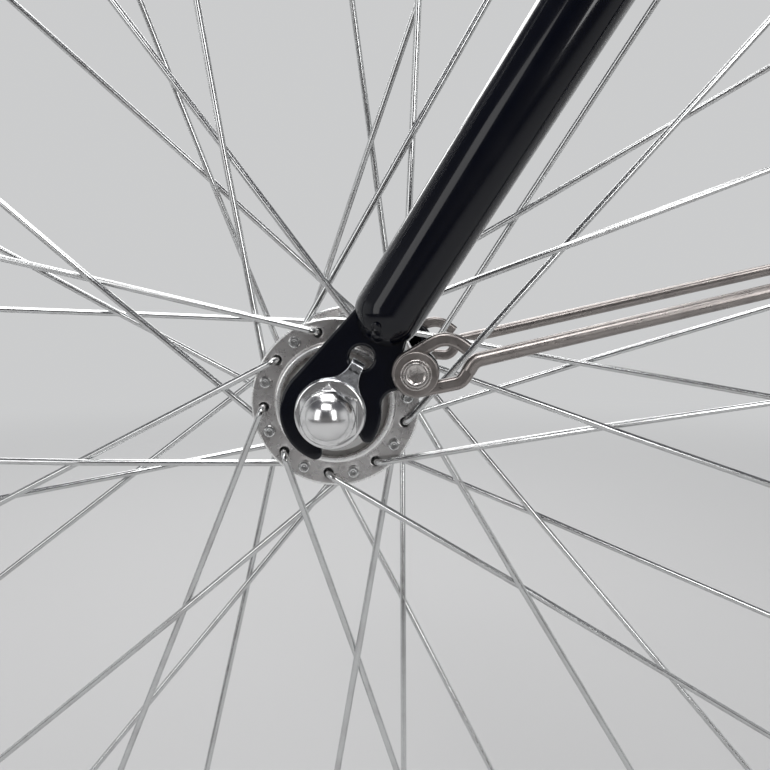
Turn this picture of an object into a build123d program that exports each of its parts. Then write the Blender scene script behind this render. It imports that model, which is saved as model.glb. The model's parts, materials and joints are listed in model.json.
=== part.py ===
from build123d import *
from math import acos, asin, atan, atan2, cos, degrees, radians, sin, sqrt
import os

# Front fork of a city bicycle with its wheel, mudguard and stay, in millimetres.
# +X points forward, +Y to the rider's left, +Z up.
# The origin is on the steerer axis, at the seat of the crown race.

# Steering geometry
head_angle = 70.0  # steerer above the horizontal, degrees
rake = 49.0  # axle ahead of the steerer axis

# Steerer and crown
steerer_d = 25.4
steerer_wall = 1.6  # where the stem goes in
steerer_butt_wall = 2.5  # below it
steerer_length = 180.0  # above the race seat
stem_depth = 120.0  # bore for the stem, from the top
butt_taper = 10.0
steerer_chamfer = 1.0
race_seat_rise = 0.5  # above the steerer's surface
race_seat_height = 6.0
steerer_root_rise = 0.3  # inside the crown, above the race seat's surface
crown_height = 28.0
crown_boss_r = 18.5
crown_edge_fillet = 2.5
crown_pad_r = 8.0  # round the bolt hole
crown_pad_height = 1.5
socket_wall = 2.2
crown_rim = 1.4  # crown's edge outside its sockets
socket_length = 46.0  # down from the race seat
braze_gap = 0.1

# Blades
blade_lean = 12.25  # lower blade ahead of the steerer's direction, degrees
blade_offset = 1.1  # lower blade's axis ahead of the axle
blade_bend_r = 400.0
blade_tip_r = 9.4
blade_bend_end_r = 12.05
blade_top_r = 13.5
blade_tip_gap = 22.0  # axle to the closed end of the blade
blade_top_depth = 8.0  # blade's upper end below the race seat

# Fork ends
over_locknut = 100.0  # between the inner faces of the fork ends
fork_end_thickness = 5.0
fork_end_head_r = 14.0
axle_slot_width = 9.5
axle_slot_straight = 5.0  # axle to where the slot widens
axle_slot_mouth = 12.8
axle_slot_angle = -72.0  # way out of the slot, from rearward, degrees
slot_corner_r = 2.0
tab_hole_r = 3.3
tab_reach = 17.25  # axle to tab hole
tab_angle = 60.4
eyelet_reach = 25.8
eyelet_angle = 25.4
eyelet_r = 6.4
eyelet_fillet = 4.3
web_front_angle = 49.0  # front edge of the web, above rearward, degrees
web_width = 16.0  # where it meets the blade
web_cover = 7.0  # web's edges end past the blade's closed end
tongue_start = 2.0  # past the blade's closed end
tongue_length = 20.0  # fork end inside the blade
tongue_width = 12.6

# Axle and its nuts
axle_d = 9.0
axle_chamfer = 1.0
thread_gap = 0.05
cone_r = 8.0
cone_length = 16.0
locknut_across = 17.0
locknut_height = 6.0
tab_washer_thickness = 1.5
tab_washer_r = 9.8
tab_set_in = 1.05  # tab's outer face short of its hole's middle
tab_gap = 0.1
tab_depth = 3.5  # tab into its hole
tab_bend = 0.3
nut_collar_r = 9.65
nut_collar_height = 1.8
nut_collar_chamfer = 0.6
nut_across = 15.0
nut_hex_height = 6.4
nut_corner_drop = 1.0  # hexagon's corners below its top
nut_dome_r = 7.4
nut_thread_depth = 9.5

# Hub
spoke_count = 36
flange_spacing = 64.3  # between the middles of the flanges
flange_thickness = 3.2
flange_r = 24.6
flange_chamfer = 0.7
hole_inset = 3.65  # flange's edge to the middles of its holes
hole_clearance = 0.35  # round a spoke that stands in the middle
hole_seat_gap = 0.15  # spoke to its hole's outer edge
hole_phase = 104.0  # first hole of the left flange, from rearward, degrees
barrel_r = 11.5
barrel_fillet = 6.0
bead_inset = 3.45  # middles of the holes to the bead
bead_wall = 2.0
bead_chamfer = 1.0
bead_height = 3.4  # above the flange's face
cup_lip = 1.0  # dust cap's seat below the flange's face
cup_floor_wall = 1.5  # hub's hole round the axle
dust_cap_height = 2.4  # above the flange's face
dust_cap_slope = (1.2, 1.55)  # its sloping edge, along and across
running_gap = 0.3

# Spokes
crossings = 3
spoke_d = 2.0
elbow_r = 2.4
elbow_stand = 2.15  # axis of an elbow above the flange's face
head_r = 1.8
head_height = 1.2
lace_in = 6.45  # laced crossing inside the flange's middle
lace_gap = 0.2
lace_bend_r = 30.0
nipple_r = 2.0
nipple_length = 12.0
nipple_seat_gap = 0.4
rim_hole_offset = 3.0  # to the side of the rim's middle

# Rim and tyre
bead_seat_r = 311.0
rim_width = 25.0
rim_depth = 11.0  # inside the bead seat
rim_floor_width = 10.0
rim_shoulder = 5.0
rim_well_depth = 2.5
rim_well_width = 8.0
rim_well_slope = 1.0
rim_lip_height = 6.0
rim_wall = 1.8
tyre_height = 40.0  # above the bead seat, and its width
tyre_chords = 12
tyre_gap = 0.2
valve_r = 4.0
valve_length = 34.0
valve_cap_r = 4.7
valve_cap_length = 12.0
valve_cap_chamfer = 1.0
valve_angle = 298.9

# Mudguard, bracket and stay
guard_clearance = 12.5  # mudguard's crown outside the tyre
guard_to_crown = 4.8
guard_side_gap = 4.5  # mudguard's edges to the blades
guard_width = 52.0
guard_drop = 14.0  # its edges below its crown
guard_thickness = 1.3
guard_edge_r = 1.4  # edge rolled inwards
guard_front_angle = 86.0
guard_rear_angle = -11.0
bracket_width = 16.0
bracket_thickness = 1.8
bracket_foot = 26.0
crown_bolt_d = 6.0
crown_bolt_depth = 14.0  # below the race seat
crown_bolt_across = 10.0
crown_bolt_head = 4.0
crown_nut_height = 5.0
crown_bolt_spare = 2.0  # thread past the nut
stay_d = 4.0
stay_angle = 13.1  # stay above the horizontal, rearward
stay_drop = 3.5  # right side of the stay below its left side
stay_loop_width = 3.7
stay_loop_thickness = 2.8
stay_loop_edge = 1.0  # rounding of the flattened strand
stay_loop_r = 4.8  # middle of the loop's strand, round the bolt
stay_apex = (8.4, 10.55)  # where the strand's tail bends down, rearward and up from the bolt
stay_apex_r = 7.0
stay_cut_end = (13.8, 6.6)
stay_foot = (12.3, -2.4)  # where the strand turns up
stay_knee = (15.7, 3.45)  # where the long wire starts
stay_knee_r = 4.0
stay_bolt_d = 5.0
stay_washer_r = 6.1
stay_washer_height = 1.8
stay_head_r = 4.2
stay_head_height = 2.6
stay_socket_across = 4.0
stay_socket_depth = 1.8
clip_width = 20.0
clip_length = 18.0
clip_thickness = 1.2

# Sizes that follow from those above
steerer_bore_d = steerer_d - 2 * steerer_wall
race_seat_d = steerer_d + 2 * race_seat_rise
steerer_root_d = race_seat_d + 2 * steerer_root_rise
hole_circle_r = flange_r - hole_inset
spoke_hole_r = spoke_d / 2 + hole_clearance
spoke_circle_r = hole_circle_r + hole_clearance - hole_seat_gap
bead_r = hole_circle_r - bead_inset
bead_inner_r = bead_r - bead_wall
rim_inner_r = bead_seat_r - rim_depth
tyre_r = bead_seat_r + tyre_height
guard_r = tyre_r + guard_clearance
blade_spacing_top = guard_width + 2 * (blade_top_r + guard_side_gap)
axle_to_crown = crown_height + sqrt(
    (guard_r + guard_to_crown) ** 2 - (rake - crown_boss_r) ** 2
)
blade_angle = head_angle - blade_lean  # lower blade above rearward

os.makedirs("parts", exist_ok=True)

# Directions and planes worked out from the steering geometry
up_steerer = Vector(-cos(radians(head_angle)), 0, sin(radians(head_angle)))
ahead = Vector(sin(radians(head_angle)), 0, cos(radians(head_angle)))
hub_centre = ahead * rake - up_steerer * axle_to_crown
axle_line = Axis(origin=hub_centre, direction=(0, 1, 0))
fork_plane = Plane(origin=(0, 0, 0), x_dir=ahead, z_dir=up_steerer)
wheel_plane = Plane(origin=hub_centre, x_dir=(-1, 0, 0), z_dir=(0, 1, 0))


def radial_plane(angle):
    """Plane through the axle: local x along it to the left, local y out at the angle."""
    turned = radians(angle)
    return Plane(origin=hub_centre, x_dir=(0, 1, 0), z_dir=(sin(turned), 0, cos(turned)))


def polar(reach, angle):
    return (reach * cos(radians(angle)), reach * sin(radians(angle)))


def turned(x, y, angle):
    """The point (x, y) turned about the axle."""
    out, side = polar(x, angle), polar(y, angle + 90)
    return (out[0] + side[0], out[1] + side[1])


def save(part, name, colour):
    part.label = name
    part.color = Color(*colour)
    export_step(part, f"parts/{name}.step")


def save_pair(part, name, colour):
    save(part, f"{name}_left", colour)
    save(mirror(part, about=Plane.XZ), f"{name}_right", colour)


def add_bent(path, section, start_x=None):
    """Solid of one section along a path of straight runs and arcs."""
    for edge in path.edges().sort_by(path):
        start, heading = edge @ 0, edge % 0
        with BuildSketch(Plane(origin=start, x_dir=start_x, z_dir=heading)) as profile:
            add(section)
        if edge.geom_type == GeomType.LINE:
            extrude(profile.sketch, amount=edge.length)
        else:
            spin = (start - edge.arc_center).cross(heading)
            turn = degrees(edge.length / edge.radius)
            axis = Axis(origin=edge.arc_center, direction=spin)
            revolve(profile.sketch, axis=axis, revolution_arc=turn)


def round_section(radius):
    with BuildSketch() as section:
        Circle(radius)
    return section.sketch


black = (0.02, 0.03, 0.06)
chrome = (0.75, 0.76, 0.78)
steel = (0.5, 0.48, 0.46)
silver = (0.7, 0.7, 0.7)
rubber = (0.05, 0.05, 0.05)

# Steerer tube with the seat for the crown race
with BuildPart() as steerer:
    with BuildSketch(Plane(origin=(0, 0, 0), x_dir=ahead, z_dir=(0, -1, 0))):
        with BuildLine():
            stem_end = steerer_length - stem_depth
            Polyline(
                (steerer_d / 2 - steerer_butt_wall, -crown_height),
                (steerer_root_d / 2, -crown_height),
                (steerer_root_d / 2, -steerer_root_rise),
                (race_seat_d / 2, 0),
                (race_seat_d / 2, race_seat_height),
                (steerer_d / 2, race_seat_height + race_seat_rise),
                (steerer_d / 2, steerer_length - steerer_chamfer),
                (steerer_d / 2 - steerer_chamfer, steerer_length),
                (steerer_bore_d / 2, steerer_length),
                (steerer_bore_d / 2, stem_end),
                (steerer_d / 2 - steerer_butt_wall, stem_end - butt_taper),
                close=True,
            )
        make_face()
    revolve(axis=Axis(origin=(0, 0, 0), direction=up_steerer))
    with BuildSketch(Plane(origin=-up_steerer * crown_bolt_depth, x_dir=(0, 1, 0), z_dir=ahead)):
        Circle(crown_bolt_d / 2 + braze_gap)
    extrude(amount=race_seat_d, both=True, mode=Mode.SUBTRACT)

# Left blade, drawn in the plane that it lies in
blade_tip_y = over_locknut / 2 + fork_end_thickness / 2
splay = atan((blade_tip_y - blade_spacing_top / 2) / axle_to_crown)
up_blade = up_steerer * cos(splay) - Vector(0, sin(splay), 0)
blade_plane = Plane(
    origin=(0, blade_spacing_top / 2, 0), x_dir=ahead, z_dir=ahead.cross(up_blade)
)
lean = radians(blade_lean)
axle_depth = axle_to_crown / cos(splay)
foot_x = rake + blade_offset * cos(lean)
foot_y = blade_offset * sin(lean) - axle_depth
straight_length = (foot_x - blade_bend_r * (1 - cos(lean))) / sin(lean)
bend_end_y = foot_y + straight_length * cos(lean) + blade_bend_r * sin(lean)
lower_plane = Plane(blade_plane.location * Location((foot_x, foot_y, 0), (0, 0, blade_lean)))


def upper_profile(extra):
    """Half section of the blade above its bend, in the blade's plane."""
    with BuildLine() as outline:
        Polyline(
            (0, bend_end_y),
            (blade_bend_end_r + extra, bend_end_y),
            (blade_top_r + extra, -blade_top_depth),
            (0, -blade_top_depth),
            close=True,
        )
    return outline.line


def beside_blade(reach, across):
    """Point in the wheel's plane: reach along the lower blade, across it from its axis."""
    return turned(reach, blade_offset + across, blade_angle)


def fork_end_outline():
    """Left fork end, in the wheel's plane: x rearward and y up from the axle."""
    eyelet = polar(eyelet_reach, eyelet_angle)
    web_end = blade_tip_gap + web_cover
    near, far = fork_end_head_r + eyelet_fillet, eyelet_r + eyelet_fillet
    fillet_turn = degrees(acos((near**2 + eyelet_reach**2 - far**2) / (2 * near * eyelet_reach)))
    fillet_centre = polar(near, eyelet_angle - fillet_turn)
    slot_edge = [
        (0, axle_slot_width / 2),
        (axle_slot_straight, axle_slot_width / 2),
        (fork_end_head_r, axle_slot_mouth / 2),
        (2 * fork_end_head_r, axle_slot_mouth / 2),
    ]
    slot = slot_edge + [(x, -y) for x, y in reversed(slot_edge)]
    with BuildSketch() as outline:
        Circle(fork_end_head_r)
        with Locations(eyelet):
            Circle(eyelet_r)
        with BuildLine():
            Polyline(
                (0, 0),
                fillet_centre,
                eyelet,
                polar(eyelet_reach, eyelet_angle + degrees(asin(eyelet_r / eyelet_reach))),
                beside_blade(web_end, -web_width / 2),
                beside_blade(web_end, web_width / 2),
                polar(fork_end_head_r, web_front_angle + 90),
                close=True,
            )
        make_face()
        with Locations(fillet_centre):
            Circle(eyelet_fillet, mode=Mode.SUBTRACT)
        tongue_middle = beside_blade(blade_tip_gap + tongue_start + tongue_length / 2, 0)
        with Locations(Location(tongue_middle, blade_angle)):
            Rectangle(tongue_length, tongue_width)
        with Locations(polar(tab_reach, tab_angle)):
            Circle(tab_hole_r, mode=Mode.SUBTRACT)
        with Locations(eyelet):
            Circle(stay_bolt_d / 2 + thread_gap, mode=Mode.SUBTRACT)
        Circle(axle_slot_width / 2, mode=Mode.SUBTRACT)
        with BuildLine():
            Polyline(*[turned(x, y, axle_slot_angle) for x, y in slot], close=True)
        make_face(mode=Mode.SUBTRACT)
        mouth = outline.vertices().sort_by_distance(polar(fork_end_head_r, axle_slot_angle))
        fillet(mouth[:2], slot_corner_r)
    return outline.sketch


with BuildPart() as fork_end:
    with BuildSketch(wheel_plane.offset(over_locknut / 2)):
        add(fork_end_outline())
    extrude(amount=fork_end_thickness)

with BuildPart() as blade:
    with BuildSketch(lower_plane):
        with BuildLine():
            RadiusArc(
                (0, blade_tip_gap), (blade_tip_r, blade_tip_gap + blade_tip_r), -blade_tip_r
            )
            Polyline(
                (blade_tip_r, blade_tip_gap + blade_tip_r),
                (blade_bend_end_r, straight_length),
                (0, straight_length),
                (0, blade_tip_gap),
            )
        make_face()
    revolve(axis=Axis(origin=lower_plane.origin, direction=lower_plane.y_dir))
    with BuildSketch(Plane(origin=blade_plane.from_local_coords((0, bend_end_y, 0)), z_dir=up_blade)):
        Circle(blade_bend_end_r)
    bend_centre = blade_plane.from_local_coords((blade_bend_r, bend_end_y, 0))
    revolve(axis=Axis(origin=bend_centre, direction=blade_plane.z_dir), revolution_arc=blade_lean)
    with BuildSketch(blade_plane):
        add(upper_profile(0))
        make_face()
    revolve(axis=Axis(origin=blade_plane.origin, direction=up_blade))
    add(fork_end.part, mode=Mode.SUBTRACT)

save(steerer.part, "steerer", black)
save_pair(blade.part, "blade", black)
save_pair(fork_end.part, "fork_end", black)

# Crown, with a socket for each blade and a bore for the steerer
with BuildPart() as crown:
    with BuildSketch(fork_plane.offset(-crown_height)):
        Circle(crown_boss_r)
        with Locations((0, blade_spacing_top / 2), (0, -blade_spacing_top / 2)):
            Circle(blade_top_r + socket_wall + crown_rim)
        make_hull()
    extrude(amount=crown_height)
    faces_up = crown.faces().sort_by(Axis(origin=(0, 0, 0), direction=up_steerer))
    fillet(faces_up[-1].edges() + faces_up[0].edges(), crown_edge_fillet)
    with BuildSketch(Plane(origin=-up_steerer * crown_bolt_depth, x_dir=(0, 1, 0), z_dir=ahead)):
        Circle(crown_pad_r)
    extrude(amount=crown_boss_r + crown_pad_height, both=True)
    for side in (1, -1):
        socket_up = up_steerer * cos(splay) - Vector(0, side * sin(splay), 0)
        socket_plane = Plane(origin=(0, side * blade_spacing_top / 2, 0), z_dir=socket_up)
        with BuildSketch(socket_plane.offset(-socket_length)):
            Circle(blade_top_r + socket_wall)
        extrude(amount=socket_length - blade_top_depth)
    for side in (1, -1):
        socket_up = up_steerer * cos(splay) - Vector(0, side * sin(splay), 0)
        section = Plane(
            origin=(0, side * blade_spacing_top / 2, 0), x_dir=ahead, z_dir=ahead.cross(socket_up)
        )
        with BuildSketch(section):
            add(upper_profile(braze_gap))
            make_face()
        revolve(axis=Axis(origin=section.origin, direction=socket_up), mode=Mode.SUBTRACT)
    with BuildSketch(fork_plane):
        Circle(steerer_root_d / 2 + braze_gap)
    extrude(amount=2 * crown_height, both=True, mode=Mode.SUBTRACT)
    with BuildSketch(Plane(origin=-up_steerer * crown_bolt_depth, x_dir=(0, 1, 0), z_dir=ahead)):
        Circle(crown_bolt_d / 2 + braze_gap)
    extrude(amount=2 * crown_boss_r, both=True, mode=Mode.SUBTRACT)

# Axle, cones with locknuts, tab washers and domed nuts
half_locknut = over_locknut / 2
washer_face = half_locknut + fork_end_thickness
collar_face = washer_face + tab_washer_thickness
hex_face = collar_face + nut_collar_height
dome_face = hex_face + nut_hex_height

with BuildPart() as axle:
    with BuildSketch(wheel_plane):
        Circle(axle_d / 2)
    extrude(amount=collar_face + nut_thread_depth, both=True)
    chamfer(axle.edges().group_by(Axis.Y)[-1] + axle.edges().group_by(Axis.Y)[0], axle_chamfer)

with BuildPart() as cone:
    with BuildSketch(wheel_plane.offset(half_locknut)):
        RegularPolygon(locknut_across / 2, 6, major_radius=False)
    extrude(amount=-locknut_height)
    with BuildSketch(wheel_plane.offset(half_locknut - locknut_height)):
        Circle(cone_r)
    extrude(amount=-cone_length)
    with BuildSketch(wheel_plane):
        Circle(axle_d / 2 + thread_gap)
    extrude(amount=over_locknut, mode=Mode.SUBTRACT)

# The tab is as wide as its hole lets it be, and the arm's flanks are hollow down to it
tab_outer = tab_reach - tab_set_in
tab_inner = tab_outer - tab_washer_thickness
tab_half = sqrt((tab_hole_r - tab_gap) ** 2 - (tab_reach - tab_inner) ** 2)
arm_fillet = ((tab_inner - tab_bend) ** 2 + tab_half**2 - tab_washer_r**2) / (
    2 * (tab_washer_r - tab_half)
)
with BuildPart() as tab_washer:
    with BuildSketch(wheel_plane.offset(washer_face)) as washer_outline:
        Circle(tab_washer_r)
        with Locations(Location(polar(tab_outer / 2, tab_angle), tab_angle)):
            Rectangle(tab_outer, 2 * tab_half)
        roots = washer_outline.vertices().sort_by_distance(polar(tab_washer_r, tab_angle))
        fillet(roots[:2], arm_fillet)
        Circle(axle_d / 2 + thread_gap, mode=Mode.SUBTRACT)
    extrude(amount=tab_washer_thickness)
    with BuildSketch(wheel_plane.offset(washer_face)):
        with Locations(Location(polar((tab_inner + tab_outer) / 2, tab_angle), tab_angle)):
            Rectangle(tab_washer_thickness, 2 * tab_half)
    extrude(amount=-tab_depth)

with BuildPart() as axle_nut:
    corner_r = nut_across / sqrt(3)
    with BuildSketch(wheel_plane.offset(hex_face)):
        RegularPolygon(nut_across / 2, 6, major_radius=False)
    extrude(amount=nut_hex_height)
    with BuildSketch(radial_plane(90)):
        with BuildLine():
            Polyline(
                (hex_face, 0),
                (hex_face, corner_r),
                (dome_face - nut_corner_drop, corner_r),
                (dome_face, nut_dome_r),
                (dome_face, 0),
                close=True,
            )
        make_face()
    revolve(axis=axle_line, mode=Mode.INTERSECT)
    with BuildSketch(radial_plane(90)):
        with BuildLine():
            Polyline(
                (dome_face, nut_dome_r),
                (hex_face, nut_dome_r),
                (hex_face, nut_collar_r - nut_collar_chamfer),
                (hex_face - nut_collar_chamfer, nut_collar_r),
                (collar_face, nut_collar_r),
                (collar_face, 0),
                (dome_face + nut_dome_r, 0),
            )
            RadiusArc((dome_face + nut_dome_r, 0), (dome_face, nut_dome_r), -nut_dome_r)
        make_face()
    revolve(axis=axle_line)
    with BuildSketch(wheel_plane.offset(collar_face)):
        Circle(axle_d / 2 + thread_gap)
    extrude(amount=nut_thread_depth + axle_chamfer, mode=Mode.SUBTRACT)

save(crown.part, "crown", black)
save(axle.part, "axle", steel)
save_pair(cone.part, "cone", steel)
save_pair(tab_washer.part, "tab_washer", chrome)
save_pair(axle_nut.part, "axle_nut", chrome)

# Hub shell: barrel, two drilled flanges and a bead round each bearing
flange_face = flange_spacing / 2 + flange_thickness / 2
flange_back = flange_spacing / 2 - flange_thickness / 2
bead_face = flange_face + bead_height
cup_face = flange_face - cup_lip
cup_depth = half_locknut - locknut_height - cone_length - cup_lip
cap_face = flange_face + dust_cap_height
hole_pitch = 720 / spoke_count


def hub_half(side):
    """Outline of half the hub shell, from the middle out to one side: (along axle, radius)."""
    return [
        (side * flange_back, barrel_r),
        (side * flange_back, flange_r - flange_chamfer),
        (side * (flange_back + flange_chamfer), flange_r),
        (side * (flange_face - flange_chamfer), flange_r),
        (side * flange_face, flange_r - flange_chamfer),
        (side * flange_face, bead_r),
        (side * (bead_face - bead_chamfer), bead_r),
        (side * bead_face, bead_r - bead_chamfer),
        (side * bead_face, bead_inner_r),
        (side * cup_face, bead_inner_r),
        (side * cup_face, cone_r + running_gap),
        (side * cup_depth, cone_r + running_gap),
        (side * cup_depth, axle_d / 2 + cup_floor_wall),
    ]


with BuildPart() as hub_shell:
    with BuildSketch(radial_plane(90)) as hub_profile:
        with BuildLine():
            Polyline(*hub_half(1), *reversed(hub_half(-1)), close=True)
        make_face()
        on_barrel = (barrel_r - thread_gap, barrel_r + thread_gap)
        fillet(hub_profile.vertices().filter_by_position(Axis.Y, *on_barrel), barrel_fillet)
    revolve(axis=axle_line)
    for side, turn in ((1, 0), (-1, hole_pitch / 2)):
        with BuildSketch(wheel_plane.offset(side * flange_spacing / 2)):
            with PolarLocations(hole_circle_r, spoke_count // 2, hole_phase + turn):
                Circle(spoke_hole_r)
        extrude(amount=flange_thickness, both=True, mode=Mode.SUBTRACT)

with BuildPart() as dust_cap:
    with BuildSketch(radial_plane(90)):
        with BuildLine():
            Polyline(
                (cup_face, cone_r + running_gap),
                (cup_face, bead_inner_r - thread_gap),
                (cap_face - dust_cap_slope[0], bead_inner_r - thread_gap),
                (cap_face, bead_inner_r - thread_gap - dust_cap_slope[1]),
                (cap_face, cone_r + running_gap),
                close=True,
            )
        make_face()
    revolve(axis=axle_line)

save(hub_shell.part, "hub_shell", silver)
save_pair(dust_cap.part, "dust_cap", steel)

# Spokes: each has its head in a flange, an elbow, a laced crossing and a nipple at the rim
lace_angle = crossings * hole_pitch
cross_angle = (crossings - 0.5) * hole_pitch
rim_end = polar(rim_inner_r, lace_angle)
chord = sqrt((rim_end[0] - spoke_circle_r) ** 2 + rim_end[1] ** 2)
spoke_offset = spoke_circle_r * rim_end[1] / chord
hub_foot_angle = degrees(acos(spoke_offset / spoke_circle_r))
cross_r = spoke_offset / cos(radians(cross_angle + hub_foot_angle))
lace_w = flange_spacing / 2 - lace_in
lace_step = spoke_d / 2 + lace_gap / 2


def spoke_route(side, turn, elbow_outside):
    """Corners of a spoke whose hub hole lies on the wheel's x axis."""
    if elbow_outside:
        head_w, elbow_w, cross_w = flange_back, flange_face + elbow_stand, lace_w - lace_step
    else:
        head_w, elbow_w, cross_w = flange_face, flange_back - elbow_stand, lace_w + lace_step
    cross_u, cross_v = polar(cross_r, turn * cross_angle)
    rim_u, rim_v = polar(rim_inner_r, turn * lace_angle)
    head = Vector(spoke_circle_r, 0, side * head_w)
    elbow = Vector(spoke_circle_r, 0, side * elbow_w)
    cross = Vector(cross_u, cross_v, side * cross_w)
    rim = Vector(rim_u, rim_v, side * rim_hole_offset)
    end = rim - (rim - cross).normalized() * nipple_length
    return head, elbow, cross, end, rim


# name, side of the wheel, phase of its holes, turn from hub to rim, elbow outside the flange
spoke_sets = (
    ("spokes_left_outer", 1, 0, 1, True),
    ("spokes_left_inner", 1, hole_pitch, -1, False),
    ("spokes_right_outer", -1, hole_pitch * 1.5, -1, True),
    ("spokes_right_inner", -1, hole_pitch / 2, 1, False),
)
per_set = spoke_count // 4
nipple_list = []
for name, side, phase, turn, elbow_outside in spoke_sets:
    head, elbow, cross, end, rim = spoke_route(side, turn, elbow_outside)
    with BuildPart() as spoke:
        with BuildLine() as run:
            FilletPolyline(head, elbow, cross, end, radius=(elbow_r, lace_bend_r))
        add_bent(run.wires()[0], round_section(spoke_d / 2))
        with BuildSketch(Plane(origin=head, z_dir=head - elbow)):
            Circle(head_r)
        extrude(amount=head_height)
    with BuildPart() as nipple:
        with BuildSketch(Plane(origin=end, z_dir=rim - end)):
            Circle(nipple_r)
        extrude(amount=nipple_length - nipple_seat_gap)
    with BuildPart(wheel_plane) as spoke_set:
        with PolarLocations(0, per_set, hole_phase + phase):
            add(spoke.part)
    with BuildPart(wheel_plane) as nipple_set:
        with PolarLocations(0, per_set, hole_phase + phase):
            add(nipple.part)
    save(spoke_set.part, name, silver)
    nipple_list.append(nipple_set.part)

with BuildPart() as nipples:
    for group in nipple_list:
        add(group)
save(nipples.part, "nipples", silver)

# Rim, tyre and valve
lip_r = bead_seat_r + rim_lip_height
well_half = rim_well_width / 2


def rim_half(side):
    """Outline of half the rim, from its inner face out to its well: (along axle, radius)."""
    return [
        (side * rim_floor_width / 2, rim_inner_r),
        (side * rim_width / 2, rim_inner_r + rim_shoulder),
        (side * rim_width / 2, lip_r),
        (side * (rim_width / 2 - rim_wall), lip_r),
        (side * (rim_width / 2 - rim_wall), bead_seat_r),
        (side * well_half, bead_seat_r),
        (side * (well_half - rim_well_slope), bead_seat_r - rim_well_depth),
    ]


with BuildPart() as wheel_rim:
    with BuildSketch(radial_plane(90)):
        with BuildLine():
            Polyline(*rim_half(1), *reversed(rim_half(-1)), close=True)
        make_face()
    revolve(axis=axle_line)

# The tyre's round is a ring of even chords, so that it stays light
tyre_centre = bead_seat_r + tyre_height / 2
lip_top = lip_r + tyre_gap
tyre_foot = rim_width / 2 - rim_wall - tyre_gap
low_angle = degrees(asin((lip_top - tyre_centre) / (tyre_height / 2)))
with BuildPart() as tyre:
    round_points = []
    for chord_end in range(tyre_chords + 1):
        angle = low_angle + (180 - 2 * low_angle) * chord_end / tyre_chords
        out, up = polar(tyre_height / 2, angle)
        round_points.append((out, tyre_centre + up))
    with BuildSketch(radial_plane(90)):
        with BuildLine():
            Polyline(
                *round_points,
                (-tyre_foot, lip_top),
                (-tyre_foot, bead_seat_r + tyre_gap),
                (tyre_foot, bead_seat_r + tyre_gap),
                (tyre_foot, lip_top),
                close=True,
            )
        make_face()
    revolve(axis=axle_line)

with BuildPart() as valve:
    valve_u, valve_v = polar(rim_inner_r - tyre_gap, valve_angle)
    valve_base = Plane(
        origin=wheel_plane.from_local_coords((valve_u, valve_v, 0)),
        z_dir=hub_centre - wheel_plane.from_local_coords((valve_u, valve_v, 0)),
    )
    with BuildSketch(valve_base):
        Circle(valve_r)
    extrude(amount=valve_length - valve_cap_length)
    with BuildSketch(valve_base.offset(valve_length - valve_cap_length)):
        Circle(valve_cap_r)
    extrude(amount=valve_cap_length)
    cap_top = valve.faces().sort_by(Axis(origin=hub_centre, direction=valve_base.z_dir))[-1]
    chamfer(cap_top.edges(), valve_cap_chamfer)

save(wheel_rim.part, "wheel_rim", silver)
save(tyre.part, "tyre", rubber)
save(valve.part, "valve", rubber)

# Mudguard: an arched section turned about the axle
guard_section_r = ((guard_width / 2) ** 2 + guard_drop**2) / (2 * guard_drop)
guard_section_centre = guard_r - guard_section_r
guard_spread = degrees(asin(guard_width / 2 / guard_section_r))

with BuildPart() as mudguard:
    with BuildSketch(radial_plane(guard_rear_angle)):
        with BuildLine():
            CenterArc(
                (0, guard_section_centre),
                guard_section_r - guard_thickness / 2,
                90 - guard_spread,
                2 * guard_spread,
            )
        trace(line_width=guard_thickness)
        for side in (90 - guard_spread, 90 + guard_spread):
            edge = polar(guard_section_r - guard_edge_r, side)
            with Locations((edge[0], guard_section_centre + edge[1])):
                Circle(guard_edge_r)
    revolve(axis=axle_line, revolution_arc=guard_front_angle - guard_rear_angle)


def fork_to_wheel(x, z):
    """A point ahead of the steerer axis and along it, as x rearward and y up from the axle."""
    point = ahead * x + up_steerer * z - hub_centre
    return (-point.X, point.Z)


# Bracket from the crown to the mudguard, and the bolt that holds it
boss_face = crown_boss_r + crown_pad_height
with BuildPart() as bracket:
    strip_x = -boss_face - bracket_thickness / 2
    foot_r = guard_r + bracket_thickness / 2 + braze_gap
    corner_z = sqrt(foot_r**2 - (rake - strip_x) ** 2) - axle_to_crown
    corner = fork_to_wheel(strip_x, corner_z)
    corner_angle = degrees(atan(corner[1] / corner[0]))
    foot_turn = degrees(bracket_foot / foot_r)
    with BuildSketch(wheel_plane):
        with BuildLine():
            Line(fork_to_wheel(strip_x, bracket_width / 2 - crown_bolt_depth), corner)
            ThreePointArc(
                corner,
                polar(foot_r, corner_angle - foot_turn / 2),
                polar(foot_r, corner_angle - foot_turn),
            )
        trace(line_width=bracket_thickness)
    extrude(amount=bracket_width / 2, both=True)
    with BuildSketch(Plane(origin=-up_steerer * crown_bolt_depth, x_dir=(0, 1, 0), z_dir=-ahead)):
        Circle(crown_bolt_d / 2 + braze_gap)
    extrude(amount=2 * boss_face, mode=Mode.SUBTRACT)

bolt_plane = Plane(origin=-up_steerer * crown_bolt_depth, x_dir=(0, 1, 0), z_dir=ahead)
with BuildPart() as crown_bolt:
    with BuildSketch(bolt_plane.offset(boss_face)):
        RegularPolygon(crown_bolt_across / 2, 6, major_radius=False)
    extrude(amount=crown_bolt_head)
    with BuildSketch(bolt_plane.offset(boss_face)):
        Circle(crown_bolt_d / 2)
    extrude(amount=-2 * boss_face - bracket_thickness - crown_nut_height - crown_bolt_spare)

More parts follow.
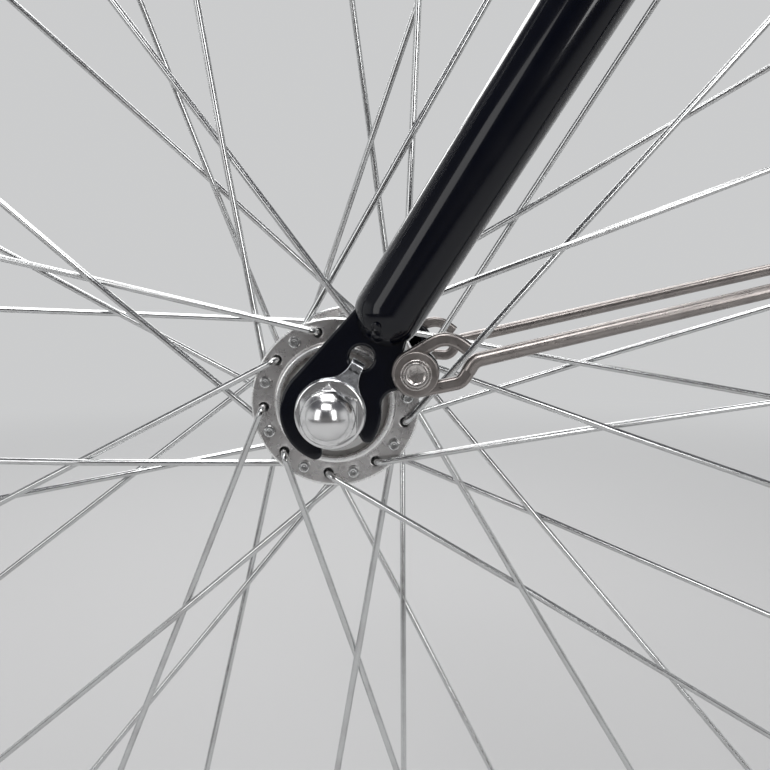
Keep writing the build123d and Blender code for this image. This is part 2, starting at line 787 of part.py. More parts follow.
with BuildPart() as crown_nut:
    with BuildSketch(bolt_plane.offset(-boss_face - bracket_thickness)):
        RegularPolygon(crown_bolt_across / 2, 6, major_radius=False)
        Circle(crown_bolt_d / 2 + thread_gap, mode=Mode.SUBTRACT)
    extrude(amount=-crown_nut_height)

save(mudguard.part, "mudguard", black)
save(bracket.part, "guard_bracket", steel)
save(crown_bolt.part, "crown_bolt", steel)
save(crown_nut.part, "crown_nut", steel)

# Wire stay: a loop round each eyelet bolt and one wire over the mudguard
eyelet = polar(eyelet_reach, eyelet_angle)
stay_out = washer_face + stay_loop_thickness / 2


def stay_point(point, side):
    """Corner of the stay's strand on one side, from its place beside the left bolt."""
    drop = polar(stay_drop if side < 0 else 0, stay_angle - 90)
    return (eyelet[0] + point[0] + drop[0], eyelet[1] + point[1] + drop[1])


def leaves_loop(corner, turn):
    """Angle on the loop, one way or the other from a corner, where its straight run starts."""
    across, up = corner[0] - eyelet[0], corner[1] - eyelet[1]
    angle = degrees(atan2(up, across))
    return angle + turn * degrees(acos(stay_loop_r / sqrt(across**2 + up**2)))


left_knee, right_knee = (
    wheel_plane.from_local_coords((*stay_point(stay_knee, side), side * stay_out))
    for side in (1, -1)
)
stay_half = (left_knee - right_knee).length / 2
stay_way = Vector(-cos(radians(stay_angle)), 0, sin(radians(stay_angle)))
stay_plane = Plane(
    origin=(left_knee + right_knee) / 2,
    x_dir=stay_way,
    z_dir=stay_way.cross(left_knee - right_knee),
)
knee_along = (stay_plane.origin - hub_centre).dot(stay_way)
knee_across = sqrt((stay_plane.origin - hub_centre).length ** 2 - knee_along**2)
arch_r = guard_section_r + stay_d / 2 + braze_gap
arch_centre = sqrt(guard_section_centre**2 - knee_across**2) - knee_along
leg_angle = degrees(
    atan(stay_half / arch_centre) - asin(arch_r / sqrt(arch_centre**2 + stay_half**2))
)
arch_end = (
    arch_centre + arch_r * sin(radians(leg_angle)),
    arch_r * cos(radians(leg_angle)),
)
with BuildSketch() as strand:
    RectangleRounded(stay_loop_thickness, stay_loop_width, stay_loop_edge)

with BuildPart() as guard_stay:
    with BuildLine(stay_plane) as arch:
        ThreePointArc(arch_end, (arch_centre + arch_r, 0), (arch_end[0], -arch_end[1]))
    add_bent(arch.wires()[0], round_section(stay_d / 2))
    for side in (1, -1):
        apex, cut_end, foot, knee = (
            stay_point(point, side) for point in (stay_apex, stay_cut_end, stay_foot, stay_knee)
        )
        strand_end = tuple((a + b) / 2 for a, b in zip(foot, knee))
        with BuildLine() as leg:
            FilletPolyline(
                wheel_plane.from_local_coords((*strand_end, side * stay_out)),
                wheel_plane.from_local_coords((*knee, side * stay_out)),
                stay_plane.from_local_coords((arch_end[0], side * arch_end[1])),
                radius=stay_knee_r,
            )
        add_bent(leg.wires()[0], round_section(stay_d / 2))
        first, last = leaves_loop(apex, 1), leaves_loop(foot, -1) + 360
        quarter = (last - first) / 4
        around = [
            turned(stay_loop_r / cos(radians(quarter)), 0, angle)
            for angle in (first + quarter, last - quarter)
        ]
        with BuildLine(wheel_plane.offset(side * stay_out)) as loop:
            FilletPolyline(
                cut_end,
                apex,
                *[(eyelet[0] + x, eyelet[1] + y) for x, y in around],
                foot,
                strand_end,
                radius=(stay_apex_r, stay_loop_r, stay_loop_r, stay_knee_r),
            )
        add_bent(loop.wires()[0], strand.sketch, (0, 1, 0))

with BuildPart() as stay_washer:
    with BuildSketch(wheel_plane.offset(washer_face + stay_loop_thickness)):
        with Locations(eyelet):
            Circle(stay_washer_r)
            Circle(stay_bolt_d / 2 + thread_gap, mode=Mode.SUBTRACT)
    extrude(amount=stay_washer_height)

with BuildPart() as stay_bolt:
    head_face = washer_face + stay_loop_thickness + stay_washer_height
    with BuildSketch(wheel_plane.offset(head_face)):
        with Locations(eyelet):
            Circle(stay_head_r)
    extrude(amount=stay_head_height)
    with BuildSketch(wheel_plane.offset(head_face)):
        with Locations(eyelet):
            Circle(stay_bolt_d / 2)
    extrude(amount=half_locknut - head_face)
    with BuildSketch(wheel_plane.offset(head_face + stay_head_height)):
        with Locations(eyelet):
            RegularPolygon(stay_socket_across / 2, 6, major_radius=False)
    extrude(amount=-stay_socket_depth, mode=Mode.SUBTRACT)

# Clip that holds the stay's wire down on the mudguard
with BuildPart() as stay_clip:
    clip_out = stay_plane.x_dir
    clip_along = stay_plane.z_dir
    clip_centre = stay_plane.from_local_coords((arch_centre, 0))
    clip_sweep = degrees(clip_width / guard_section_r)
    channel = stay_d / 2 + braze_gap
    low = guard_section_r + braze_gap
    middle = guard_section_r + stay_d / 2 + braze_gap
    with BuildSketch(Plane(origin=clip_centre, x_dir=clip_along, z_dir=clip_along.cross(clip_out))):
        with BuildLine():
            Polyline(
                (-clip_length / 2, low),
                (-channel, low),
                (-channel, middle + channel),
                (channel, middle + channel),
                (channel, low),
                (clip_length / 2, low),
                (clip_length / 2, low + clip_thickness),
                (channel + clip_thickness, low + clip_thickness),
                (channel + clip_thickness, middle + channel + clip_thickness),
                (-channel - clip_thickness, middle + channel + clip_thickness),
                (-channel - clip_thickness, low + clip_thickness),
                (-clip_length / 2, low + clip_thickness),
                close=True,
            )
        make_face()
    revolve(
        stay_clip.pending_faces[0].rotate(Axis(clip_centre, clip_along), -clip_sweep / 2),
        axis=Axis(origin=clip_centre, direction=clip_along),
        revolution_arc=clip_sweep,
    )

save(guard_stay.part, "guard_stay", steel)
save_pair(stay_washer.part, "stay_washer", steel)
save_pair(stay_bolt.part, "stay_bolt", steel)
save(stay_clip.part, "stay_clip", steel)
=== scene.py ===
import json
from math import acos, asin, atan, atan2, ceil, cos, degrees, pi, radians, sin, sqrt, tan

import bmesh
import bpy
from mathutils import Matrix, Vector
from mathutils.geometry import delaunay_2d_cdt


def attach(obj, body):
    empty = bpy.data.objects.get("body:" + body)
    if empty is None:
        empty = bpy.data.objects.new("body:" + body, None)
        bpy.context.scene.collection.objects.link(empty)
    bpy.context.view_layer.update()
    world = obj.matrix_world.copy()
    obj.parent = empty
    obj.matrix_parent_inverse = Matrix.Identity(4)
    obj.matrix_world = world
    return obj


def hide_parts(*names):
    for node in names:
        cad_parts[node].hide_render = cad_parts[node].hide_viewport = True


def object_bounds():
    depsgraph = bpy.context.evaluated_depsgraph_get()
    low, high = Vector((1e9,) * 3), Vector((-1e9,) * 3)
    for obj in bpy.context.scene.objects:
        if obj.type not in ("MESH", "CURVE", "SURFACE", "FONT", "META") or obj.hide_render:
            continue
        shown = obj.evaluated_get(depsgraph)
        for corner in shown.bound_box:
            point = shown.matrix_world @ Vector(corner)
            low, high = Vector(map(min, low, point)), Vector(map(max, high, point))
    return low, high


# Looks of a bicycle's front fork with its wheel, mudguard and stay.
# Sizes are in millimetres from the middle of the hub: u rearward, v up, w to the rider's left.
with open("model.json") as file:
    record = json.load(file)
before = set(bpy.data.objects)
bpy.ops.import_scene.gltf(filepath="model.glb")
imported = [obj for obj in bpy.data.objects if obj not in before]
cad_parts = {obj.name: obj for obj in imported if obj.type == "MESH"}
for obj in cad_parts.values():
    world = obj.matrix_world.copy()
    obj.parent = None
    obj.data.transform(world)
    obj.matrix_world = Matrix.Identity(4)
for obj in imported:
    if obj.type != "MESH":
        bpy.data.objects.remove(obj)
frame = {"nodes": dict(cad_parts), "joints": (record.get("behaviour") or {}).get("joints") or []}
cad_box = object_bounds()

MM = 0.001
MERGE = 0.002
HUB = Vector(frame["joints"][0]["pos_m"])
SIDES = (("left", 1), ("right", -1))

# Camera, from the fit of the hub and its spoke holes in the photograph
IMAGE_SIZE = 770
SENSOR_WIDTH = 36.0
FOCAL_PIXELS = 1125.8
CAMERA_PLACE = (21.53, 44.42, 358.15)
CAMERA_TURN = -0.0219
CAMERA_TILT = 0.1206

# Fork, as in the part's source
HEAD_ANGLE = radians(70)
RAKE = 49.0
AXLE_TO_CROWN = 28 + sqrt(368.3**2 - 30.5**2)
BLADE_LEAN = radians(12.25)
BLADE_OFFSET = 1.1
BLADE_ANGLE = 57.75
BLADE_BEND_R = 400.0
BLADE_TIP_R, BLADE_BEND_END_R, BLADE_TOP_R = 9.4, 12.05, 13.5
BLADE_TIP_GAP = 22.0
BLADE_TOP_DEPTH = 8.0
BLADE_TIP_W, BLADE_SPACING_TOP = 52.5, 88.0
FORK_END_FACE, WASHER_FACE = 50.0, 55.0
HEAD_R = 14.0
SLOT_HALF, SLOT_STRAIGHT, MOUTH_HALF = 4.75, 5.0, 6.4
SLOT_ANGLE = -72.0
SLOT_CORNER_R = 2.0
TAB_HOLE_R, TAB_REACH, TAB_ANGLE = 3.3, 17.25, 60.4
EYELET_REACH, EYELET_ANGLE, EYELET_R, EYELET_FILLET = 25.8, 25.4, 6.4, 4.3
WEB_FRONT_ANGLE, WEB_HALF, WEB_END = 49.0, 8.0, 29.0
FORK_END_BEVEL = 0.9

# Steerer: points (distance up it, radius), and the steps of a thread's turn (share of pitch, radius)
STEERER_LENGTH = 180.0
THREAD_START, THREAD_PITCH = 150.0, 1.058
THREAD_RELIEF = 1.5
THREAD_STEPS = ((0.15, 12.68), (0.5, 12.15), (0.85, 12.68))
STEERER_OUTSIDE = (
    (-28, 13.5), (-0.3, 13.5), (0, 13.2), (6, 13.2), (6.5, 12.7), (THREAD_START, 12.7),
)
STEERER_EDGE = ((STEERER_LENGTH - 1, 12.65), (STEERER_LENGTH, 11.7))
STEERER_INSIDE = ((-28, 10.2), (50, 10.2), (60, 11.1), (STEERER_LENGTH, 11.1))

# Vent in each blade's tip: the way that it faces, and its lip (radius, height over the blade)
VENT_WAY = (-3.34, -3.53, 8.05)
VENT_LIP = ((0, 0.03), (0.6, 0.03), (0.68, 0.16), (0.85, 0.2), (1.1, 0.12), (1.4, -0.2))

# Nuts, washers and bolts
AXLE_BORE_R = 4.55
WASHER_THICKNESS, WASHER_R, WASHER_BEVEL = 1.5, 9.8, 0.3
TAB_HALF, TAB_INNER, TAB_OUTER, TAB_DROP = 1.93, 14.7, 16.2, 3.4
TAB_HOLLOW_R, TAB_HOLLOW_X = 7.31, 14.4
TAB_BEND_R, TAB_EDGE_R = 1.05, 0.35
COLLAR_FACE, HEX_FACE, DOME_FACE = 56.5, 58.3, 64.7
COLLAR_R, HEX_HALF, DOME_R = 9.65, 7.5, 7.4
STAY_WASHER_FACE, STAY_HEAD_FACE, STAY_HEAD_TOP = 57.8, 59.6, 62.2
STAY_WASHER_R, STAY_HEAD_R = 6.1, 4.2
SOCKET_HALF, SOCKET_CORNER_R, SOCKET_TURN = 2.0, 2.28, 12

# Hub and spokes
FLANGE_FACE, FLANGE_BACK, FLANGE_BEVEL = 33.75, 30.55, 0.55
FLANGE_R, BEAD_R, BEAD_INNER_R, BEAD_FACE = 24.6, 17.5, 15.5, 37.15
CUP_FACE, CUP_DEPTH, CUP_R, TUNNEL_R = 32.75, 27.0, 8.3, 6.0
BARREL_R, BARREL_FILLET = 11.5, 6.0
HOLES, HOLE_CIRCLE_R, HOLE_R, HOLE_PHASE = 18, 20.95, 1.35, 104.0
HOLE_PITCH = 360 / HOLES
HOLE_FLARE_FACE, HOLE_FLARE_BACK = 0.45, 0.2
SPOKE_CIRCLE_R, SPOKE_R, ELBOW_R, ELBOW_STAND = 21.15, 1.0, 2.4, 2.15
LACE_W, LACE_STEP, LACE_BEND_R, CROSSINGS = 25.7, 1.1, 30.0, 3
RIM_INNER_R, RIM_HOLE_W, NIPPLE_LENGTH = 300.0, 3.0, 12.0
# Domed head: distance from its middle, height over its foot
SPOKE_HEAD = (
    (0, 0.72), (0.42, 0.78), (0.62, 0.6), (0.95, 0.64), (1.3, 0.98), (1.55, 0.92),
    (1.75, 0.6), (1.8, 0.2), (1.8, 0),
)
# Distance along the spoke from the nipple's inner end, radius
NIPPLE_STEPS = (
    (-0.6, 1.05), (-0.5, 1.5), (0, 1.75), (2, 1.95),
    (2.01, 2.0), (9.8, 2.0), (10.3, 2.35), (12, 2.35),
)
NIPPLE_FLATS = ((3.0, 1.9), (3.15, 2.3), (9.0, 2.3), (9.15, 1.9))
EYELET_STEPS = ((10.9, 2.45), (10.7, 2.6), (10.8, 2.95), (11.3, 3.3), (12.2, 3.4))

# Rim, tyre and mudguard
RIM_HALF, LIP_R, BEAD_SEAT_R = 12.5, 317.0, 311.0
TYRE_MIDDLE_R, TYRE_HALF = 331.0, 20.0
TYRE_STEPS = 1104
GUARD_R, GUARD_HALF, GUARD_DROP, GUARD_THICKNESS, GUARD_EDGE_R = 363.5, 26.0, 14.0, 1.3, 1.4
GUARD_REAR, GUARD_FRONT, GUARD_CORNER_R = -11.0, 86.0, 14.0
GUARD_ROLL_TURN, GUARD_ROLL_END = 200, 1.4

# Tread: depths, angles from the crown in degrees, and pitches and widths in steps round the tyre
TREAD_DEPTH, SLANT_DEPTH, SIPE_DEPTH = 1.6, 1.8, 1.0
GROOVE_HALF, SIDE_GROOVE, TREAD_EDGE = 3, (17, 21), 52
SLANT_PITCH, SLANT_WIDTH, SLANT_LEAN = 12, 1.6, 0.12
SIPE_PITCH, SIPE_WIDTH = 24, 1.2

# Colour of the painted highlights on metal edges
PAINTED_HIGHLIGHT = (0.97, 0.97, 0.96)


def at(u, v, w):
    """Point of the row frame, in metres, for a place in millimetres from the hub's middle."""
    return HUB + Vector((-u, w, v)) * MM


def polar(reach, angle):
    """(u, v) at a distance from the axle and an angle in degrees, from rearward towards up."""
    return reach * cos(radians(angle)), reach * sin(radians(angle))


class Nodes:
    """A node tree, with short calls for the nodes that the finishes share."""

    def __init__(self, tree):
        self.tree = tree

    def add(self, kind, **values):
        node = self.tree.nodes.new(kind)
        for key, value in values.items():
            setattr(node, key, value)
        return node

    def link(self, source, target):
        self.tree.links.new(source, target)

    def spread(self, value, low, high, start=0.3, end=0.7):
        """Value from low to high, as the given one goes from start to end."""
        node = self.add("ShaderNodeMapRange", interpolation_type="SMOOTHSTEP")
        for name, number in zip(("From Min", "From Max", "To Min", "To Max"), (start, end, low, high)):
            node.inputs[name].default_value = number
        self.link(value, node.inputs["Value"])
        return node.outputs["Result"]

    def blend(self, value, first, second):
        """Colour between two, by a value from 0 to 1."""
        node = self.add("ShaderNodeMix", data_type="RGBA")
        self.link(value, node.inputs["Factor"])
        for socket, colour in (("A", first), ("B", second)):
            target = next(i for i in node.inputs if i.name == socket and i.type == "RGBA")
            if isinstance(colour, tuple):
                target.default_value = (*colour, 1)
            else:
                self.link(colour, target)
        return next(o for o in node.outputs if o.type == "RGBA")

    def maths(self, operation, *values):
        """Result of a Math node on numbers and sockets."""
        node = self.add("ShaderNodeMath", operation=operation)
        for socket, value in zip(node.inputs, values):
            if isinstance(value, (int, float)):
                socket.default_value = value
            else:
                self.link(value, socket)
        return node.outputs["Value"]


class Shader(Nodes):
    """Node tree of one material."""

    def __init__(self, name):
        self.material = bpy.data.materials.new(name)
        self.material.use_nodes = True
        super().__init__(self.material.node_tree)
        self.bsdf = self.tree.nodes["Principled BSDF"]
        self.place = self.add("ShaderNodeTexCoord").outputs["Object"]

    def noise(self, size, detail=4.0):
        """Value from 0 to 1 that varies over a size in millimetres."""
        node = self.add("ShaderNodeTexNoise")
        node.inputs["Scale"].default_value = 1 / (size * MM)
        node.inputs["Detail"].default_value = detail
        self.link(self.place, node.inputs["Vector"])
        return node.outputs["Fac"]

    def axle_distance(self):
        """Distance from the axle's line, in millimetres."""
        offset = self.add("ShaderNodeVectorMath", operation="SUBTRACT")
        self.link(self.place, offset.inputs[0])
        offset.inputs[1].default_value = HUB
        flat = self.add("ShaderNodeVectorMath", operation="MULTIPLY")
        self.link(offset.outputs["Vector"], flat.inputs[0])
        flat.inputs[1].default_value = (1 / MM, 0, 1 / MM)
        length = self.add("ShaderNodeVectorMath", operation="LENGTH")
        self.link(flat.outputs["Vector"], length.inputs[0])
        return length.outputs["Value"]

    def rings(self, pitch):
        """Wave of turned grooves round the axle, one for each pitch in millimetres."""
        return self.maths("SINE", self.maths("MULTIPLY", self.axle_distance(), 2 * pi / pitch))

    def bump(self, height, depth):
        """Fine relief of a depth in millimetres."""
        node = self.add("ShaderNodeBump")
        node.inputs["Strength"].default_value = 1.0
        node.inputs["Distance"].default_value = depth * MM
        self.link(height, node.inputs["Height"])
        self.link(node.outputs["Normal"], self.bsdf.inputs["Normal"])

    def set(self, **values):
        for key, value in values.items():
            self.bsdf.inputs[key.replace("_", " ")].default_value = value

    def drive(self, socket, value):
        self.link(value, self.bsdf.inputs[socket])


def gloss_paint(name, colour, dusty, roughness):
    """Sprayed enamel under a clear coat: slight orange peel and a film of dust."""
    shader = Shader(name)
    shader.drive("Base Color", shader.blend(shader.spread(shader.noise(38), 0, 1), colour, dusty))
    shader.drive("Roughness", shader.spread(shader.noise(9), roughness, roughness * 1.8))
    shader.set(Specular_IOR_Level=0.12, Coat_Weight=1.0, Coat_Roughness=0.06, Coat_IOR=1.36)
    shader.bump(shader.noise(2.6, 2), 0.008)
    return shader.material


def bare_metal(name, colour, stained, roughness, grain=0.35, depth=0.006):
    """Metal with drifting stain, uneven polish and a fine grain."""
    shader = Shader(name)
    shader.set(Metallic=1.0)
    stain = shader.spread(shader.noise(6, 6), 0, 1, 0.42, 0.72)
    shader.drive("Base Color", shader.blend(stain, colour, stained))
    shader.drive("Roughness", shader.spread(shader.noise(1.6, 5), *roughness))
    if depth:
        shader.bump(shader.noise(grain, 3), depth)
    return shader.material


def turned_metal(name, colour, stained, roughness, pitch, depth, bright=()):
    """Metal with rings from the lathe round the axle, and painted highlights in rings at some radii."""
    shader = Shader(name)
    shader.set(Metallic=1.0)
    stain = shader.spread(shader.noise(7, 5), 0, 1, 0.4, 0.75)
    face = shader.blend(stain, colour, stained)
    # Painted highlight: the base colour turns near-white in a ring at each given radius
    for radius, width in bright:
        off = shader.maths("ABSOLUTE", shader.maths("SUBTRACT", shader.axle_distance(), radius))
        face = shader.blend(shader.spread(off, 1, 0, width * 0.6, width), face, PAINTED_HIGHLIGHT)
    shader.drive("Base Color", face)
    shader.drive("Roughness", shader.spread(shader.noise(2.2, 5), *roughness))
    wobble = shader.maths("MULTIPLY", shader.noise(1.2, 3), 1.5)
    shader.bump(shader.maths("ADD", shader.rings(pitch), wobble), depth)
    return shader.material


def rubber(name, colour, dusty):
    """Black rubber, greyer where dust and wear lie on it."""
    shader = Shader(name)
    dust = shader.spread(shader.noise(14, 6), 0, 1, 0.35, 0.75)
    shader.drive("Base Color", shader.blend(dust, colour, dusty))
    shader.drive("Roughness", shader.spread(shader.noise(3), 0.55, 0.8))
    shader.bump(shader.noise(0.5, 4), 0.03)
    return shader.material


FORK_PAINT = gloss_paint("fork_enamel", (0.001, 0.0016, 0.0048), (0.0016, 0.0023, 0.0058), 0.14)
GUARD_PAINT = gloss_paint("guard_enamel", (0.002, 0.003, 0.0065), (0.005, 0.006, 0.01), 0.2)
CHROME = bare_metal("chrome_plate", (0.84, 0.84, 0.84), (0.78, 0.78, 0.78), (0.17, 0.22), depth=0)
ZINC = bare_metal("zinc_plate", (0.62, 0.6, 0.58), (0.42, 0.39, 0.37), (0.2, 0.34))
ZINC_PALE = bare_metal("bright_zinc", (0.72, 0.74, 0.77), (0.56, 0.57, 0.6), (0.16, 0.28))
BOLT_STEEL = bare_metal("bolt_steel", (0.6, 0.57, 0.55), (0.45, 0.42, 0.41), (0.2, 0.32))
CAP_STEEL = bare_metal("bright_cap", (0.82, 0.82, 0.81), (0.7, 0.69, 0.68), (0.32, 0.42), 0.5, 0.002)
STEEL = bare_metal("dull_steel", (0.36, 0.33, 0.315), (0.24, 0.22, 0.21), (0.28, 0.42), 0.35, 0.004)
STAY_STEEL = bare_metal("stay_steel", (0.34, 0.312, 0.298), (0.27, 0.247, 0.238), (0.27, 0.34), depth=0)
SPOKE_STEEL = bare_metal("drawn_steel", (0.68, 0.69, 0.69), (0.6, 0.6, 0.6), (0.17, 0.23), depth=0)
# Painted highlights on the hub: bright rings at the flange's outer edge and just inside the bead
HUB_ALLOY = turned_metal(
    "hub_alloy", (0.7, 0.688, 0.682), (0.655, 0.635, 0.625), (0.26, 0.3), 0.22, 0.001,
    ((FLANGE_R, 0.75), (BEAD_R - 1.0, 0.8)),
)
RIM_ALLOY = bare_metal("rim_alloy", (0.72, 0.73, 0.74), (0.64, 0.645, 0.65), (0.28, 0.34), 1.2, 0.002)
TYRE_RUBBER = rubber("tyre_rubber", (0.013, 0.013, 0.013), (0.026, 0.025, 0.024))
VALVE_RUBBER = rubber("valve_rubber", (0.01, 0.01, 0.01), (0.03, 0.03, 0.03))

slot_finish = {
    "fork_paint": FORK_PAINT,
    "guard_paint": GUARD_PAINT,
    "chrome": CHROME,
    "alloy": HUB_ALLOY,
    "spoke_steel": SPOKE_STEEL,
    "plain_steel": STEEL,
    "tyre_rubber": TYRE_RUBBER,
    "valve_rubber": VALVE_RUBBER,
}
node_finish = {"guard_stay": STAY_STEEL, "dust_cap_left": CAP_STEEL, "dust_cap_right": CAP_STEEL}
for name, node in frame["nodes"].items():
    for place in node.material_slots:
        finish = slot_finish[place.material.name.split(".")[0]]
        place.material = node_finish.get(name, finish)


class Shape:
    """Mesh of one piece, in millimetres from the hub's middle (u, v, w)."""

    def __init__(self):
        self.points = []
        self.faces = []

    def skin(self, rings, closed=False):
        """Faces between closed rings of points; closed joins the last ring to the first."""
        start, width, count = len(self.points), len(rings[0]), len(rings)
        for ring in rings:
            self.points.extend(tuple(point) for point in ring)
        for row in range(count if closed else count - 1):
            first = start + row * width
            second = start + (row + 1) % count * width
            for place in range(width):
                after = (place + 1) % width
                self.faces.append((first + place, first + after, second + after, second + place))

    def flat(self, loops, w):
        """Flat face at one w: the first loop less the others."""
        points, edges = [], []
        for loop in loops:
            start = len(points)
            points.extend(Vector(point) for point in loop)
            count = len(loop)
            edges.extend((start + k, start + (k + 1) % count) for k in range(count))
        places, _, triangles, *_ = delaunay_2d_cdt(points, edges, [], 1, 1e-6)
        start = len(self.points)
        self.points.extend((place.x, place.y, w) for place in places)
        for triangle in triangles:
            middle = sum((places[k] for k in triangle), Vector((0, 0))) / 3
            if sum(is_inside(middle, loop) for loop in loops) == 1:
                self.faces.append(tuple(start + k for k in triangle))

    def cap(self, ring):
        """One face over a ring of points."""
        start = len(self.points)
        self.points.extend(tuple(point) for point in ring)
        self.faces.append(tuple(range(start, len(self.points))))

    def piece(self, name, body, slot, material, *nodes, crease=32):
        """Blender object of this shape, riding on a body, with creases over an angle."""
        mesh = bpy.data.meshes.new(name)
        mesh.from_pydata([at(*point) for point in self.points], [], self.faces)
        made = bmesh.new()
        made.from_mesh(mesh)
        bmesh.ops.remove_doubles(made, verts=made.verts, dist=MERGE * MM)
        bmesh.ops.recalc_face_normals(made, faces=made.faces)
        made.to_mesh(mesh)
        made.free()
        mesh.shade_smooth()
        mesh.set_sharp_from_angle(angle=radians(crease))
        mesh.materials.append(material)
        thing = bpy.data.objects.new(name, mesh)
        bpy.context.collection.objects.link(thing)
        even = thing.modifiers.new("even_shading", "WEIGHTED_NORMAL")
        even.keep_sharp = True
        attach(thing, body)
        if nodes:
            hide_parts(*nodes)
        return thing


def is_inside(point, loop):
    """Whether a point lies inside a closed loop, by the crossings of a ray."""
    inside = False
    for (x1, y1), (x2, y2) in zip(loop, loop[1:] + loop[:1]):
        if (y1 > point.y) != (y2 > point.y):
            if point.x < x1 + (point.y - y1) * (x2 - x1) / (y2 - y1):
                inside = not inside
    return inside


def turned(x, y, angle):
    """The point (x, y) turned about the axle by degrees."""
    out, side = polar(x, angle), polar(y, angle + 90)
    return out[0] + side[0], out[1] + side[1]


def arc(centre, radius, start, end, step=5.0):
    """Points on an arc from one angle to another, in degrees."""
    count = max(2, round(abs(end - start) / step))
    angles = [start + (end - start) * k / count for k in range(count + 1)]
    return [(centre[0] + polar(radius, a)[0], centre[1] + polar(radius, a)[1]) for a in angles]


def rounded(corners, steps=4, closed=False):
    """Outline through corners (x, y) or (x, y, radius), where a radius rounds the corner."""
    outline = []
    for place, corner in enumerate(corners):
        here = Vector(corner[:2])
        ends = not closed and place in (0, len(corners) - 1)
        if len(corner) == 2 or ends:
            outline.append(tuple(here))
            continue
        back = (Vector(corners[place - 1][:2]) - here).normalized()
        on = (Vector(corners[(place + 1) % len(corners)][:2]) - here).normalized()
        half = back.angle(on) / 2
        centre = here + (back + on).normalized() * corner[2] / sin(half)
        start = here + back * corner[2] / tan(half) - centre
        sweep = (pi - 2 * half) * (1 if back.cross(on) < 0 else -1)
        for k in range(steps + 1):
            outline.append(tuple(centre + Matrix.Rotation(sweep * k / steps, 2) @ start))
    return outline


def bent(points, radii, steps=8):
    """Path through points in space, with each inner corner an arc of its radius."""
    path = [Vector(points[0])]
    for before, here, after, radius in zip(points, points[1:], points[2:], radii):
        here = Vector(here)
        back = (Vector(before) - here).normalized()
        on = (Vector(after) - here).normalized()
        half = back.angle(on) / 2
        centre = here + (back + on).normalized() * radius / sin(half)
        start = here + back * radius / tan(half) - centre
        end = here + on * radius / tan(half) - centre
        for k in range(steps + 1):
            turn = Matrix.Rotation((pi - 2 * half) * k / steps, 3, start.cross(end))
            path.append(centre + turn @ start)
    path.append(Vector(points[-1]))
    return path


def stepped(path, longest=12.0):
    """The path with points added, so that no run of it is longer than a length."""
    points = [path[0]]
    for start, end in zip(path, path[1:]):
        count = ceil((end - start).length / longest)
        points += [start.lerp(end, (k + 1) / count) for k in range(count)]
    return points


def ring_round(point, heading, side, radius, sides):
    """Points of a circle round a heading."""
    side = (side - heading * side.dot(heading)).normalized()
    other = heading.cross(side)
    turns = [2 * pi * k / sides for k in range(sides)]
    return [point + (side * cos(t) + other * sin(t)) * radius for t in turns]


def tube(shape, path, radii, sides=24, capped=True):
    """Round skin along a path, with one radius or one for each point."""
    if not isinstance(radii, list):
        radii = [radii] * len(path)
    first = (path[1] - path[0]).normalized()
    side = first.orthogonal()
    rings = []
    for place, (point, radius) in enumerate(zip(path, radii)):
        before, after = path[max(place - 1, 0)], path[min(place + 1, len(path) - 1)]
        heading = (after - before).normalized()
        side = (side - heading * side.dot(heading)).normalized()
        rings.append(ring_round(point, heading, side, radius, sides))
    if capped:
        rings = [[path[0]] * sides] + rings + [[path[-1]] * sides]
    shape.skin(rings)


def lathe(shape, profile, centre=(0, 0), steps=144, closed=False):
    """Turns a profile of (radius, w) about a line along the axle's direction."""
    turns = [360 * k / steps for k in range(steps)]
    shape.skin(
        [
            [(centre[0] + polar(r, t)[0], centre[1] + polar(r, t)[1], w) for t in turns]
            for r, w in profile
        ],
        closed=closed,
    )


def round_levels(low, high, bevel, steps=4):
    """Levels (w, inset) of a plate from one face to the other, with rounded edges."""
    way = bevel if high > low else -bevel
    turns = [radians(90 * k / steps) for k in range(steps + 1)]
    rise = [(low + way * (1 - cos(t)), bevel * (1 - sin(t))) for t in turns]
    fall = [(high - way * (1 - cos(t)), bevel * (1 - sin(t))) for t in reversed(turns)]
    return rise + fall


def shrunk(loop, inset):
    """The loop moved to its left by a distance; outer loops run anticlockwise, holes clockwise."""
    moved = []
    count = len(loop)
    for place, point in enumerate(loop):
        here = Vector(point)
        back = (here - Vector(loop[place - 1])).normalized()
        on = (Vector(loop[(place + 1) % count]) - here).normalized()
        way = Vector((-back.y - on.y, back.x + on.x)).normalized()
        share = max(0.5, way.dot(Vector((-back.y, back.x))))
        moved.append(tuple(here + way * inset / share))
    return moved


def plate(shape, loops, levels):
    """Piece with two flat faces: an outer loop, its holes, and levels (w, inset) between."""
    for loop in loops:
        shape.skin([[(x, y, w) for x, y in shrunk(loop, inset)] for w, inset in levels])
    for w, inset in (levels[0], levels[-1]):
        shape.flat([shrunk(loop, inset) for loop in loops], w)


def from_crown(x, y, w):
    """Place beside the hub of a point ahead of the steerer's axis and up along it."""
    ahead, up = x - RAKE, y + AXLE_TO_CROWN
    u = up * cos(HEAD_ANGLE) - ahead * sin(HEAD_ANGLE)
    return Vector((u, ahead * cos(HEAD_ANGLE) + up * sin(HEAD_ANGLE), w))


def beside_blade(reach, across):
    """(u, v) along the lower blade from the axle, and across it from its axis."""
    return turned(reach, BLADE_OFFSET + across, BLADE_ANGLE)


def slot_frame(x, y):
    """(u, v) along the axle's slot from the axle, and across it."""
    return turned(x, y, SLOT_ANGLE)


